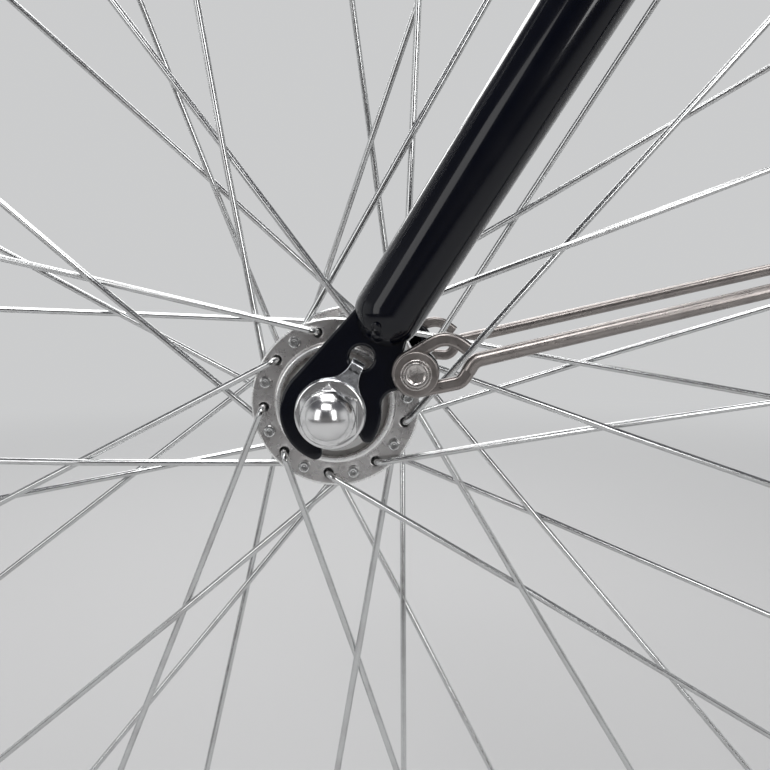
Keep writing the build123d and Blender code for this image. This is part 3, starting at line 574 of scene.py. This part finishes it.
def fork_end_loop():
    """Outline of a fork end, anticlockwise seen from the rider's left, from one arm's corner."""
    lean = atan2(MOUTH_HALF - SLOT_HALF, HEAD_R - SLOT_STRAIGHT)
    offset = SLOT_HALF * cos(lean) - SLOT_STRAIGHT * sin(lean) + SLOT_CORNER_R
    corner_reach = HEAD_R - SLOT_CORNER_R
    corner = degrees(lean + asin(offset / corner_reach))
    edge = 90 - degrees(lean)
    near, far = HEAD_R + EYELET_FILLET, EYELET_R + EYELET_FILLET
    turn = degrees(acos((near**2 + EYELET_REACH**2 - far**2) / (2 * near * EYELET_REACH)))
    hollow = Vector(polar(near, EYELET_ANGLE - turn))
    eyelet = Vector(polar(EYELET_REACH, EYELET_ANGLE))
    to_eyelet = degrees(atan2(eyelet.y - hollow.y, eyelet.x - hollow.x))
    web = [beside_blade(WEB_END, -WEB_HALF), beside_blade(WEB_END, WEB_HALF)]
    leaves = Vector(polar(EYELET_REACH, EYELET_ANGLE + degrees(asin(EYELET_R / EYELET_REACH)))) - eyelet
    leave = degrees(atan2(leaves.y, leaves.x))
    right, left = polar(corner_reach, SLOT_ANGLE + corner), polar(corner_reach, SLOT_ANGLE - corner)
    loop = arc(right, SLOT_CORNER_R, SLOT_ANGLE - edge, SLOT_ANGLE + corner, 12)
    loop += arc((0, 0), HEAD_R, SLOT_ANGLE + corner, EYELET_ANGLE - turn)[1:]
    loop += arc(hollow, EYELET_FILLET, EYELET_ANGLE - turn + 180, to_eyelet, 8)[1:]
    loop += arc(eyelet, EYELET_R, to_eyelet - 180, leave)[1:]
    loop += web
    loop += arc((0, 0), HEAD_R, WEB_FRONT_ANGLE + 90, SLOT_ANGLE - corner + 360)
    loop += arc(left, SLOT_CORNER_R, SLOT_ANGLE - corner, SLOT_ANGLE + edge, 12)[1:]
    loop += [slot_frame(SLOT_STRAIGHT, -SLOT_HALF)]
    loop += arc((0, 0), SLOT_HALF, SLOT_ANGLE - 90, SLOT_ANGLE - 270, 6)
    loop += [slot_frame(SLOT_STRAIGHT, SLOT_HALF)]
    return loop


def make_fork_end(name, side):
    """Slotted plate with the tab washer's hole, its eyelet and rounded edges."""
    tab = polar(TAB_REACH, TAB_ANGLE)
    hole = arc(tab, TAB_HOLE_R, 360, 0, 12)[:-1]
    shape = Shape()
    levels = round_levels(side * FORK_END_FACE, side * WASHER_FACE, FORK_END_BEVEL)
    plate(shape, [fork_end_loop(), hole], levels)
    shape.piece(f"fork_end_{name}_rounded", "fork", "fork_paint", FORK_PAINT, f"fork_end_{name}")


def make_blade(name, side):
    """Blade with a closed round end, a straight run, its bend and its upper run."""
    splay = atan((BLADE_TIP_W - BLADE_SPACING_TOP / 2) / AXLE_TO_CROWN)
    foot_x = RAKE + BLADE_OFFSET * cos(BLADE_LEAN)
    foot_y = BLADE_OFFSET * sin(BLADE_LEAN) - AXLE_TO_CROWN / cos(splay)
    straight = (foot_x - BLADE_BEND_R * (1 - cos(BLADE_LEAN))) / sin(BLADE_LEAN)
    bend_y = foot_y + straight * cos(BLADE_LEAN) + BLADE_BEND_R * sin(BLADE_LEAN)
    places = []
    for k in range(13):
        turn = radians(90 * k / 12)
        reach = BLADE_TIP_GAP + BLADE_TIP_R * (1 - cos(turn))
        places.append((reach, BLADE_TIP_R * sin(turn)))
    for k in range(1, 9):
        share = k / 8
        reach = BLADE_TIP_GAP + BLADE_TIP_R + (straight - BLADE_TIP_GAP - BLADE_TIP_R) * share
        places.append((reach, BLADE_TIP_R + (BLADE_BEND_END_R - BLADE_TIP_R) * share))
    path = [(foot_x - r * sin(BLADE_LEAN), foot_y + r * cos(BLADE_LEAN)) for r, _ in places]
    radii = [radius for _, radius in places]
    for k in range(1, 17):
        turn = BLADE_LEAN * (1 - k / 16)
        path.append((BLADE_BEND_R * (1 - cos(turn)), bend_y - BLADE_BEND_R * sin(turn)))
        radii.append(BLADE_BEND_END_R)
    path.append((0, -BLADE_TOP_DEPTH))
    radii.append(BLADE_TOP_R)
    points = [
        from_crown(x, y * cos(splay), side * (BLADE_SPACING_TOP / 2 - y * sin(splay)))
        for x, y in path
    ]
    shape = Shape()
    tube(shape, points, radii, 72)
    shape.piece(f"blade_{name}_tapered", "fork", "fork_paint", FORK_PAINT, f"blade_{name}")


def make_vent(name, side):
    """Small hole near a blade's tip, where the gas went out as it was brazed, with its drawn lip."""
    middle = Vector((*beside_blade(BLADE_TIP_GAP + BLADE_TIP_R, 0), side * BLADE_TIP_W))
    way = Vector((*VENT_WAY[:2], side * VENT_WAY[2])).normalized()
    shape = Shape()
    shape.skin([
        ring_round(middle + way * (BLADE_TIP_R + rise), way, Vector((1, 0, 0)), radius, 24)
        for radius, rise in VENT_LIP
    ])
    shape.piece(f"blade_{name}_vent", "fork", "fork_paint", FORK_PAINT)


def make_steerer():
    """Butted tube with a seat for the race below and a cut thread at its top."""
    outer = list(STEERER_OUTSIDE)
    turns = int((STEERER_LENGTH - THREAD_RELIEF - THREAD_START) / THREAD_PITCH)
    for k in range(turns):
        outer += [(THREAD_START + THREAD_PITCH * (k + share), r) for share, r in THREAD_STEPS]
    outer += STEERER_EDGE
    steps = 96
    shape = Shape()
    for profile in (outer, STEERER_INSIDE):
        path = [from_crown(0, y, 0) for y, _ in profile]
        tube(shape, path, [r for _, r in profile], steps, False)
    last = len(outer) * steps
    for rim, bore in ((0, last), (last - steps, len(shape.points) - steps)):
        shape.skin([shape.points[rim:rim + steps], shape.points[bore:bore + steps]])
    shape.piece("steerer_threaded", "fork", "fork_paint", FORK_PAINT, "steerer", crease=40)


def make_tab_washer(name, side):
    """Washer whose arm bends down into its hole in the fork end."""
    hollow_y = TAB_HALF + TAB_HOLLOW_R
    meet = degrees(atan2(hollow_y, TAB_HOLLOW_X))
    loop = arc((0, 0), WASHER_R, meet, 360 - meet)
    loop += arc((TAB_HOLLOW_X, -hollow_y), TAB_HOLLOW_R, 180 - meet, 90, 6)[1:]
    loop += arc((TAB_HOLLOW_X, hollow_y), TAB_HOLLOW_R, 270, 180 + meet, 6)[:-1]
    loop = [turned(x, y, TAB_ANGLE) for x, y in loop]
    bore = arc((0, 0), AXLE_BORE_R, 360, 0, 6)[:-1]
    shape = Shape()
    plate(shape, [loop, bore], round_levels(side * WASHER_FACE, side * COLLAR_FACE, WASHER_BEVEL))
    middle = WASHER_FACE + WASHER_THICKNESS / 2
    along = (TAB_INNER + TAB_OUTER) / 2
    bend = [(TAB_HOLLOW_X - 1.4, middle), (along, middle, TAB_BEND_R), (along, WASHER_FACE - TAB_DROP)]
    route = rounded(bend, 8)
    thick = WASHER_THICKNESS / 2
    corners = ((-thick, -TAB_HALF), (thick, -TAB_HALF), (thick, TAB_HALF), (-thick, TAB_HALF))
    strip = rounded([(*corner, TAB_EDGE_R) for corner in corners], 3, closed=True)
    rings = []
    for place, (x, w) in enumerate(route):
        before, after = route[max(place - 1, 0)], route[min(place + 1, len(route) - 1)]
        way = (Vector(after) - Vector(before)).normalized()
        ring = []
        for out, across in strip:
            u, v = turned(x - way.y * out, across, TAB_ANGLE)
            ring.append((u, v, side * (w + way.x * out)))
        rings.append(ring)
    shape.skin([[Vector(rings[0][0])] * len(strip)] + rings)
    tip = sum((Vector(point) for point in rings[-1]), Vector()) / len(strip)
    shape.skin([rings[-1], [tip] * len(strip)])
    shape.piece(f"tab_washer_{name}_bent", "fork", "chrome", ZINC_PALE, f"tab_washer_{name}")


def hexagon(turn, half, corner):
    """Distance from the middle to a hexagon's side at an angle, with its corners worn to a radius."""
    return min(half / cos(radians((turn + 30) % 60 - 30)), corner)


def make_axle_nut(name, side):
    """Domed nut on a round collar."""
    turns = [2.5 * k for k in range(144)]
    levels = [(COLLAR_R - 0.25, COLLAR_FACE), (COLLAR_R, COLLAR_FACE + 0.2), (COLLAR_R, HEX_FACE - 0.6)]
    levels += [(COLLAR_R - 0.12, HEX_FACE - 0.3), (COLLAR_R - 0.4, HEX_FACE - 0.08)]
    levels += [(COLLAR_R - 0.7, HEX_FACE), (8.75, HEX_FACE)]
    rings = [[(*polar(r, t), side * w) for t in turns] for r, w in levels]
    corner = HEX_HALF / cos(radians(30))

    def hex_ring(inset, w, drop):
        ring = []
        for t in turns:
            r = hexagon(t, HEX_HALF, corner - 0.08) - inset
            fall = drop * max(0, r - DOME_R) / (corner - DOME_R)
            ring.append((*polar(r, t), side * (w - fall)))
        return ring

    rings += [hex_ring(-0.12, HEX_FACE, 0), hex_ring(0, HEX_FACE + 0.15, 0)]
    rings += [hex_ring(0, DOME_FACE - 0.2, 1.0), hex_ring(0.06, DOME_FACE - 0.08, 1.0)]
    rings.append([(*polar(DOME_R, t), side * (DOME_FACE + 0.02)) for t in turns])
    for k in range(1, 25):
        lift = radians(90 * k / 24)
        rings.append(
            [(*polar(DOME_R * cos(lift), t), side * (DOME_FACE + DOME_R * sin(lift))) for t in turns]
        )
    shape = Shape()
    shape.skin([[(*polar(AXLE_BORE_R, t), side * COLLAR_FACE) for t in turns]] + rings)
    shape.piece(f"axle_nut_{name}_domed", "fork", "chrome", CHROME, f"axle_nut_{name}", crease=28)


def make_stay_bolt(name, side):
    """Washer, and a round head with a ring groove and a hexagon socket."""
    centre = polar(EYELET_REACH, EYELET_ANGLE)
    washer = Shape()
    outline = [
        (2.6, STAY_WASHER_FACE), (STAY_WASHER_R, STAY_WASHER_FACE, 0.3),
        (STAY_WASHER_R, STAY_HEAD_FACE, 0.45), (2.6, STAY_HEAD_FACE),
    ]
    lathe(washer, [(r, side * w) for r, w in rounded(outline)], centre, 96, closed=True)
    washer.piece(f"stay_washer_{name}_turned", "fork", "plain_steel", STEEL, f"stay_washer_{name}")
    outline = [
        (2.5, FORK_END_FACE), (2.5, STAY_HEAD_FACE), (STAY_HEAD_R, STAY_HEAD_FACE),
        (STAY_HEAD_R, STAY_HEAD_TOP - 0.55, 0.35), (3.85, STAY_HEAD_TOP - 0.5, 0.1),
        (3.75, STAY_HEAD_TOP - 0.95), (3.5, STAY_HEAD_TOP - 0.95),
        (3.4, STAY_HEAD_TOP - 0.05, 0.3), (2.65, STAY_HEAD_TOP, 0.12),
    ]
    turns = [3.75 * k for k in range(96)]

    def ring(radii, w):
        spots = [polar(r, t) for r, t in zip(radii, turns)]
        return [(centre[0] + x, centre[1] + y, side * w) for x, y in spots]

    rings = [ring([0.0] * 96, FORK_END_FACE)]
    rings += [ring([r] * 96, w) for r, w in rounded(outline)]
    socket = [hexagon(t + SOCKET_TURN, SOCKET_HALF, SOCKET_CORNER_R) for t in turns]
    rings += [ring([2.42] * 96, STAY_HEAD_TOP - 0.12), ring(socket, STAY_HEAD_TOP - 0.3)]
    rings += [ring(socket, STAY_HEAD_TOP - 1.8), ring([0.0] * 96, STAY_HEAD_TOP - 2.1)]
    bolt = Shape()
    bolt.skin(rings)
    bolt.piece(f"stay_bolt_{name}_turned", "fork", "plain_steel", BOLT_STEEL, f"stay_bolt_{name}")


def make_hub():
    """Hub shell with drilled flanges, rounded edges and a bead round each bearing."""
    shape = Shape()
    bevel, edge_r = FLANGE_BEVEL, FLANGE_BEVEL - 0.02
    for side, first in ((1, HOLE_PHASE), (-1, HOLE_PHASE + HOLE_PITCH / 2)):
        circles = [arc((0, 0), r, 0, 360, 2.5)[:-1] for r in (FLANGE_R - bevel, BEAD_R + 0.5)]
        back = [circles[0], arc((0, 0), BARREL_R + BARREL_FILLET, 0, 360, 2.5)[:-1]]
        centres = [polar(HOLE_CIRCLE_R, first + HOLE_PITCH * k) for k in range(HOLES)]
        faces = ((circles, FLANGE_FACE, HOLE_FLARE_FACE), (back, FLANGE_BACK, HOLE_FLARE_BACK))
        for loops, w, flare in faces:
            holes = [arc(centre, HOLE_R + flare, 0, 360, 15)[:-1] for centre in centres]
            shape.flat(loops + holes, side * w)
        walls = [
            (HOLE_R + HOLE_FLARE_FACE, FLANGE_FACE), (HOLE_R + 0.16, FLANGE_FACE - 0.12),
            (HOLE_R, FLANGE_FACE - HOLE_FLARE_FACE), (HOLE_R, FLANGE_BACK + HOLE_FLARE_BACK),
            (HOLE_R + HOLE_FLARE_BACK, FLANGE_BACK),
        ]
        for centre in centres:
            lathe(shape, [(r, side * w) for r, w in walls], centre, 24)
        edge = rounded(
            [
                (FLANGE_R - bevel, FLANGE_FACE), (FLANGE_R, FLANGE_FACE, edge_r),
                (FLANGE_R, FLANGE_BACK, edge_r), (FLANGE_R - bevel, FLANGE_BACK),
            ], 5,
        )
        lathe(shape, [(r, side * w) for r, w in edge])
        bead = rounded(
            [
                (BEAD_R + 0.5, FLANGE_FACE), (BEAD_R, FLANGE_FACE, 0.45), (BEAD_R, BEAD_FACE, 0.9),
                (BEAD_INNER_R, BEAD_FACE, 0.4), (BEAD_INNER_R, CUP_FACE), (CUP_R, CUP_FACE, 0.3),
                (CUP_R, CUP_DEPTH), (TUNNEL_R, CUP_DEPTH),
            ], 6,
        )
        lathe(shape, [(r, side * w) for r, w in bead])
    barrel = [
        (BARREL_R + BARREL_FILLET, FLANGE_BACK), (BARREL_R, FLANGE_BACK, BARREL_FILLET - 0.01),
        (BARREL_R, -FLANGE_BACK, BARREL_FILLET - 0.01), (BARREL_R + BARREL_FILLET, -FLANGE_BACK),
    ]
    lathe(shape, rounded(barrel, 10))
    lathe(shape, [(TUNNEL_R, CUP_DEPTH), (TUNNEL_R, -CUP_DEPTH)])
    shape.piece("hub_shell_drilled", "wheel", "alloy", HUB_ALLOY, "hub_shell")


def spoke_route(side, turn, elbow_outside, angle):
    """Corners of one spoke, from its head to the rim."""
    lace, cross = CROSSINGS * HOLE_PITCH, (CROSSINGS - 0.5) * HOLE_PITCH
    rim_u, rim_v = polar(RIM_INNER_R, lace)
    foot = SPOKE_CIRCLE_R * rim_v / sqrt((rim_u - SPOKE_CIRCLE_R) ** 2 + rim_v**2)
    cross_r = foot / cos(radians(cross) + acos(foot / SPOKE_CIRCLE_R))
    if elbow_outside:
        head_w, elbow_w, cross_w = FLANGE_BACK, FLANGE_FACE + ELBOW_STAND, LACE_W - LACE_STEP
    else:
        head_w, elbow_w, cross_w = FLANGE_FACE, FLANGE_BACK - ELBOW_STAND, LACE_W + LACE_STEP
    head = Vector((*polar(SPOKE_CIRCLE_R, angle), side * head_w))
    elbow = Vector((*polar(SPOKE_CIRCLE_R, angle), side * elbow_w))
    crossing = Vector((*polar(cross_r, angle + turn * cross), side * cross_w))
    rim = Vector((*polar(RIM_INNER_R, angle + turn * lace), side * RIM_HOLE_W))
    end = rim - (rim - crossing).normalized() * NIPPLE_LENGTH
    return head, elbow, crossing, end, rim


def make_spokes():
    """Four sets of nine spokes with stamped heads, and the nipples and eyelets at the rim."""
    sets = (
        # name, side, first hole in pitches, turn from hub to rim, elbow outside the flange
        ("spokes_left_outer", 1, 0, 1, True),
        ("spokes_left_inner", 1, 1, -1, False),
        ("spokes_right_outer", -1, 1.5, -1, True),
        ("spokes_right_inner", -1, 0.5, 1, False),
    )
    nipples, eyelets = Shape(), Shape()
    for name, side, first, turn, elbow_outside in sets:
        shape = Shape()
        for k in range(HOLES // 2):
            route = spoke_route(side, turn, elbow_outside, HOLE_PHASE + (first + 2 * k) * HOLE_PITCH)
            head, *_, end, rim = route
            tube(shape, stepped(bent(route[:4], (ELBOW_R, LACE_BEND_R), 10)), SPOKE_R, 20)
            out = -1 if elbow_outside else 1
            dome = [(r, head.z + side * out * h) for r, h in SPOKE_HEAD]
            lathe(shape, dome, head[:2], 32)
            way = (rim - end).normalized()
            fittings = ((nipples, NIPPLE_STEPS, 16), (nipples, NIPPLE_FLATS, 4), (eyelets, EYELET_STEPS, 24))
            for fitting, steps, sides in fittings:
                tube(fitting, [end + way * s for s, _ in steps], [r for _, r in steps], sides)
        shape.piece(f"{name}_bent", "wheel", "spoke_steel", SPOKE_STEEL, name)
    nipples.piece("nipples_flatted", "wheel", "spoke_steel", SPOKE_STEEL, "nipples")
    eyelets.piece("rim_eyelets", "wheel", "spoke_steel", ZINC)


def make_rim():
    """Rim with a rounded well, hooked edges and a bead seat."""
    half = [
        (RIM_INNER_R, 5.0, 2.5), (RIM_INNER_R + 5, RIM_HALF, 2.0), (LIP_R, RIM_HALF, 0.8),
        (LIP_R, RIM_HALF - 1.8, 0.8), (BEAD_SEAT_R, RIM_HALF - 1.8, 0.6), (BEAD_SEAT_R, 4.0, 0.8),
        (BEAD_SEAT_R - 2.5, 3.0, 0.5),
    ]
    corners = half + [(r, -w, bend) for r, w, bend in reversed(half)]
    shape = Shape()
    lathe(shape, rounded(corners, 4, closed=True), steps=360, closed=True)
    shape.piece("rim_rounded", "wheel", "alloy", RIM_ALLOY, "wheel_rim")


def tread_depth(step, angle):
    """How deep the tread's grooves are, for a step round the tyre and an angle from its crown."""
    side = abs(angle)
    groove_start, groove_end = SIDE_GROOVE
    if side < GROOVE_HALF or groove_start < side < groove_end:
        return TREAD_DEPTH
    slant = step + side * SLANT_LEAN * (1 if angle > 0 else -1)
    if groove_end < side < TREAD_EDGE:
        return SLANT_DEPTH if slant % SLANT_PITCH < SLANT_WIDTH else 0
    if side <= groove_start:
        return SIPE_DEPTH if slant % SIPE_PITCH < SIPE_WIDTH else 0
    return 0


def make_tyre():
    """Tyre with a blocked tread, a ribbed shoulder and smooth sidewalls."""
    angles = [-130 + 9 * k for k in range(8)] + [-58 + 2 * k for k in range(59)]
    angles += [67 + 9 * k for k in range(8)]
    turns = [360 * step / TYRE_STEPS for step in range(TYRE_STEPS)]
    bead = ((BEAD_SEAT_R + 0.3, 10.4), (LIP_R + 0.3, 10.4))
    shape = Shape()
    rings = [[(*polar(r, t), -w) for t in turns] for r, w in bead]
    for angle in angles:
        rib = 0.35 if abs(angle) in (67, 103) else 0
        ring = []
        for step, turn in enumerate(turns):
            out = TYRE_HALF - 0.45 + rib - (tread_depth(step, angle) if abs(angle) < 54 else 0.4)
            reach = TYRE_MIDDLE_R + out * cos(radians(angle))
            ring.append((*polar(reach, turn), out * sin(radians(angle))))
        rings.append(ring)
    rings += [[(*polar(r, t), w) for t in turns] for r, w in reversed(bead)]
    shape.skin(rings, closed=True)
    shape.piece("tyre_treaded", "wheel", "tyre_rubber", TYRE_RUBBER, "tyre")


def make_mudguard():
    """Arched sheet with rolled edges and rounded ends."""
    section_r = (GUARD_HALF**2 + GUARD_DROP**2) / (2 * GUARD_DROP)
    centre = GUARD_R - section_r
    spread = degrees(asin(GUARD_HALF / section_r))
    roll = section_r - GUARD_EDGE_R
    outline = []
    for k in range(41):
        turn = radians(-spread + 2 * spread * k / 40)
        outline.append((section_r * sin(turn), centre + section_r * cos(turn)))
    edge = (roll * sin(radians(spread)), centre + roll * cos(radians(spread)))
    rolled = arc(edge, GUARD_EDGE_R, 90 - spread, 90 - spread - GUARD_ROLL_TURN, 20)[1:]
    outline += rolled
    inner = section_r - GUARD_THICKNESS
    for k in range(41):
        turn = radians((spread - GUARD_ROLL_END) * (1 - 2 * k / 40))
        outline.append((inner * sin(turn), centre + inner * cos(turn)))
    outline += [(-w, r) for w, r in reversed(rolled)]
    corner = GUARD_CORNER_R
    rings = []
    count = 240
    for k in range(count + 1):
        ring = []
        for w, r in outline:
            over = max(0.0, abs(w) - (GUARD_HALF - corner))
            trim = degrees((corner - sqrt(max(0.0, corner**2 - min(over, corner) ** 2))) / GUARD_R)
            start, end = GUARD_REAR + trim, GUARD_FRONT - trim
            ring.append((*polar(r, start + (end - start) * k / count), w))
        rings.append(ring)
    shape = Shape()
    shape.skin(rings)
    for ring in (rings[0], rings[-1]):
        shape.cap(ring)
    shape.piece("mudguard_rolled", "fork", "guard_paint", GUARD_PAINT, "mudguard")


for name, side in SIDES:
    make_fork_end(name, side)
    make_blade(name, side)
    make_vent(name, side)
    make_tab_washer(name, side)
    make_axle_nut(name, side)
    make_stay_bolt(name, side)
make_steerer()
make_hub()
make_spokes()
make_rim()
make_tyre()
make_mudguard()

# Stage: a pale floor that fades into a pale backdrop, soft lamps, and dim surroundings behind the
# photograph's camera; what is seen is also what metal mirrors
FLOOR_RADIUS = 9.0
FLOOR_COLOUR = (0.56, 0.56, 0.56)
PALE = (0.6, 0.605, 0.61)
DIM = (0.1, 0.098, 0.1)
BEHIND_LOW, BEHIND_HIGH, OVERHEAD = (0.16, 0.155, 0.155), (0.04, 0.04, 0.045), (0.09, 0.09, 0.1)
FADE_START, FADE_END = 900.0, 2600.0


def make_floor():
    """Disc under the wheel that takes its shadow, and turns into the backdrop's colour far out."""
    mesh = bpy.data.meshes.new("floor")
    made = bmesh.new()
    bmesh.ops.create_circle(made, cap_ends=True, segments=128, radius=FLOOR_RADIUS)
    made.to_mesh(mesh)
    made.free()
    floor = bpy.data.objects.new("floor", mesh)
    floor.location = (HUB.x, 0, cad_box[0].z)
    bpy.context.collection.objects.link(floor)
    shader = Shader("pale_floor")
    shader.set(Roughness=0.8, Specular_IOR_Level=0.1)
    shader.bsdf.inputs["Base Color"].default_value = (*FLOOR_COLOUR, 1)
    spot = shader.add("ShaderNodeVectorMath", operation="LENGTH")
    shader.link(shader.place, spot.inputs[0])
    reach = shader.maths("DIVIDE", spot.outputs["Value"], MM)
    far = shader.spread(reach, 0, 1, FADE_START, FADE_END)
    glow = shader.add("ShaderNodeEmission")
    parts = shader.add("ShaderNodeSeparateXYZ")
    shader.link(shader.place, parts.inputs["Vector"])
    behind = shader.spread(parts.outputs["Y"], 0, 1, 0.3, 1.3)
    shader.link(shader.blend(behind, PALE, DIM), glow.inputs["Color"])
    mix = shader.add("ShaderNodeMixShader")
    shader.link(far, mix.inputs["Fac"])
    shader.link(shader.bsdf.outputs["BSDF"], mix.inputs[1])
    shader.link(glow.outputs["Emission"], mix.inputs[2])
    output = next(n for n in shader.tree.nodes if n.type == "OUTPUT_MATERIAL")
    shader.link(mix.outputs["Shader"], output.inputs["Surface"])
    mesh.materials.append(shader.material)


def make_world():
    """Pale all round the far side, dim and slightly warm behind the camera, darker overhead."""
    world = bpy.data.worlds.new("studio")
    bpy.context.scene.world = world
    world.use_nodes = True
    nodes = Nodes(world.node_tree)
    way = nodes.add("ShaderNodeSeparateXYZ")
    nodes.link(nodes.add("ShaderNodeTexCoord").outputs["Generated"], way.inputs["Vector"])
    high = nodes.spread(way.outputs["Z"], 0, 1, 0.3, 0.62)
    near = nodes.spread(way.outputs["Y"], 0, 1, 0.3, 0.75)
    rise = nodes.spread(way.outputs["Z"], 0, 1, -0.05, 0.45)
    behind = nodes.blend(rise, BEHIND_LOW, BEHIND_HIGH)
    across = nodes.blend(near, PALE, behind)
    colour = nodes.blend(high, across, OVERHEAD)
    nodes.link(colour, world.node_tree.nodes["Background"].inputs["Color"])


def add_softbox(name, place, target, width, height, power):
    """Rectangular lamp that faces a target."""
    light = bpy.data.lights.new(name, "AREA")
    light.shape = "RECTANGLE"
    light.size, light.size_y = width, height
    light.energy = power
    lamp = bpy.data.objects.new(name, light)
    lamp.location = place
    lamp.rotation_euler = (target - lamp.location).to_track_quat("-Z", "Y").to_euler()
    bpy.context.collection.objects.link(lamp)


def make_lights():
    """Five soft lamps round the wheel, each facing the hub."""
    middle = at(0, 0, 0)
    softboxes = (
        # name, place from the hub in metres (X, Y, Z), width, height, watts
        ("strip_front", (1.35, 1.6, 0.7), 0.8, 1.5, 7),
        ("strip_rear", (-1.0, 1.7, 0.7), 0.42, 1.3, 10),
        ("window", (0.12, 1.15, 1.6), 1.0, 0.6, 14),
        ("top", (0.0, -0.5, 2.2), 1.6, 1.6, 30),
        ("far", (0.3, -1.9, 1.1), 1.4, 1.0, 18),
    )
    for name, place, width, height, power in softboxes:
        add_softbox(name, middle + Vector(place), middle, width, height, power)


def make_camera():
    """Camera in the photograph's place, with its turn, tilt and focal length."""
    data = bpy.data.cameras.new("camera")
    data.sensor_width = SENSOR_WIDTH
    data.lens = SENSOR_WIDTH * FOCAL_PIXELS / IMAGE_SIZE
    data.clip_start, data.clip_end = 0.02, 60
    camera = bpy.data.objects.new("camera", data)
    turn = Matrix.Rotation(CAMERA_TILT, 3, "X") @ Matrix.Rotation(CAMERA_TURN, 3, "Y")
    rows = [Vector((-row[0], row[2], row[1])) for row in turn]
    camera.matrix_world = Matrix.Translation(at(*CAMERA_PLACE)) @ Matrix(rows).transposed().to_4x4()
    bpy.context.collection.objects.link(camera)
    bpy.context.scene.camera = camera


make_floor()
make_world()
make_lights()
make_camera()
bpy.context.scene.view_settings.view_transform = "Standard"
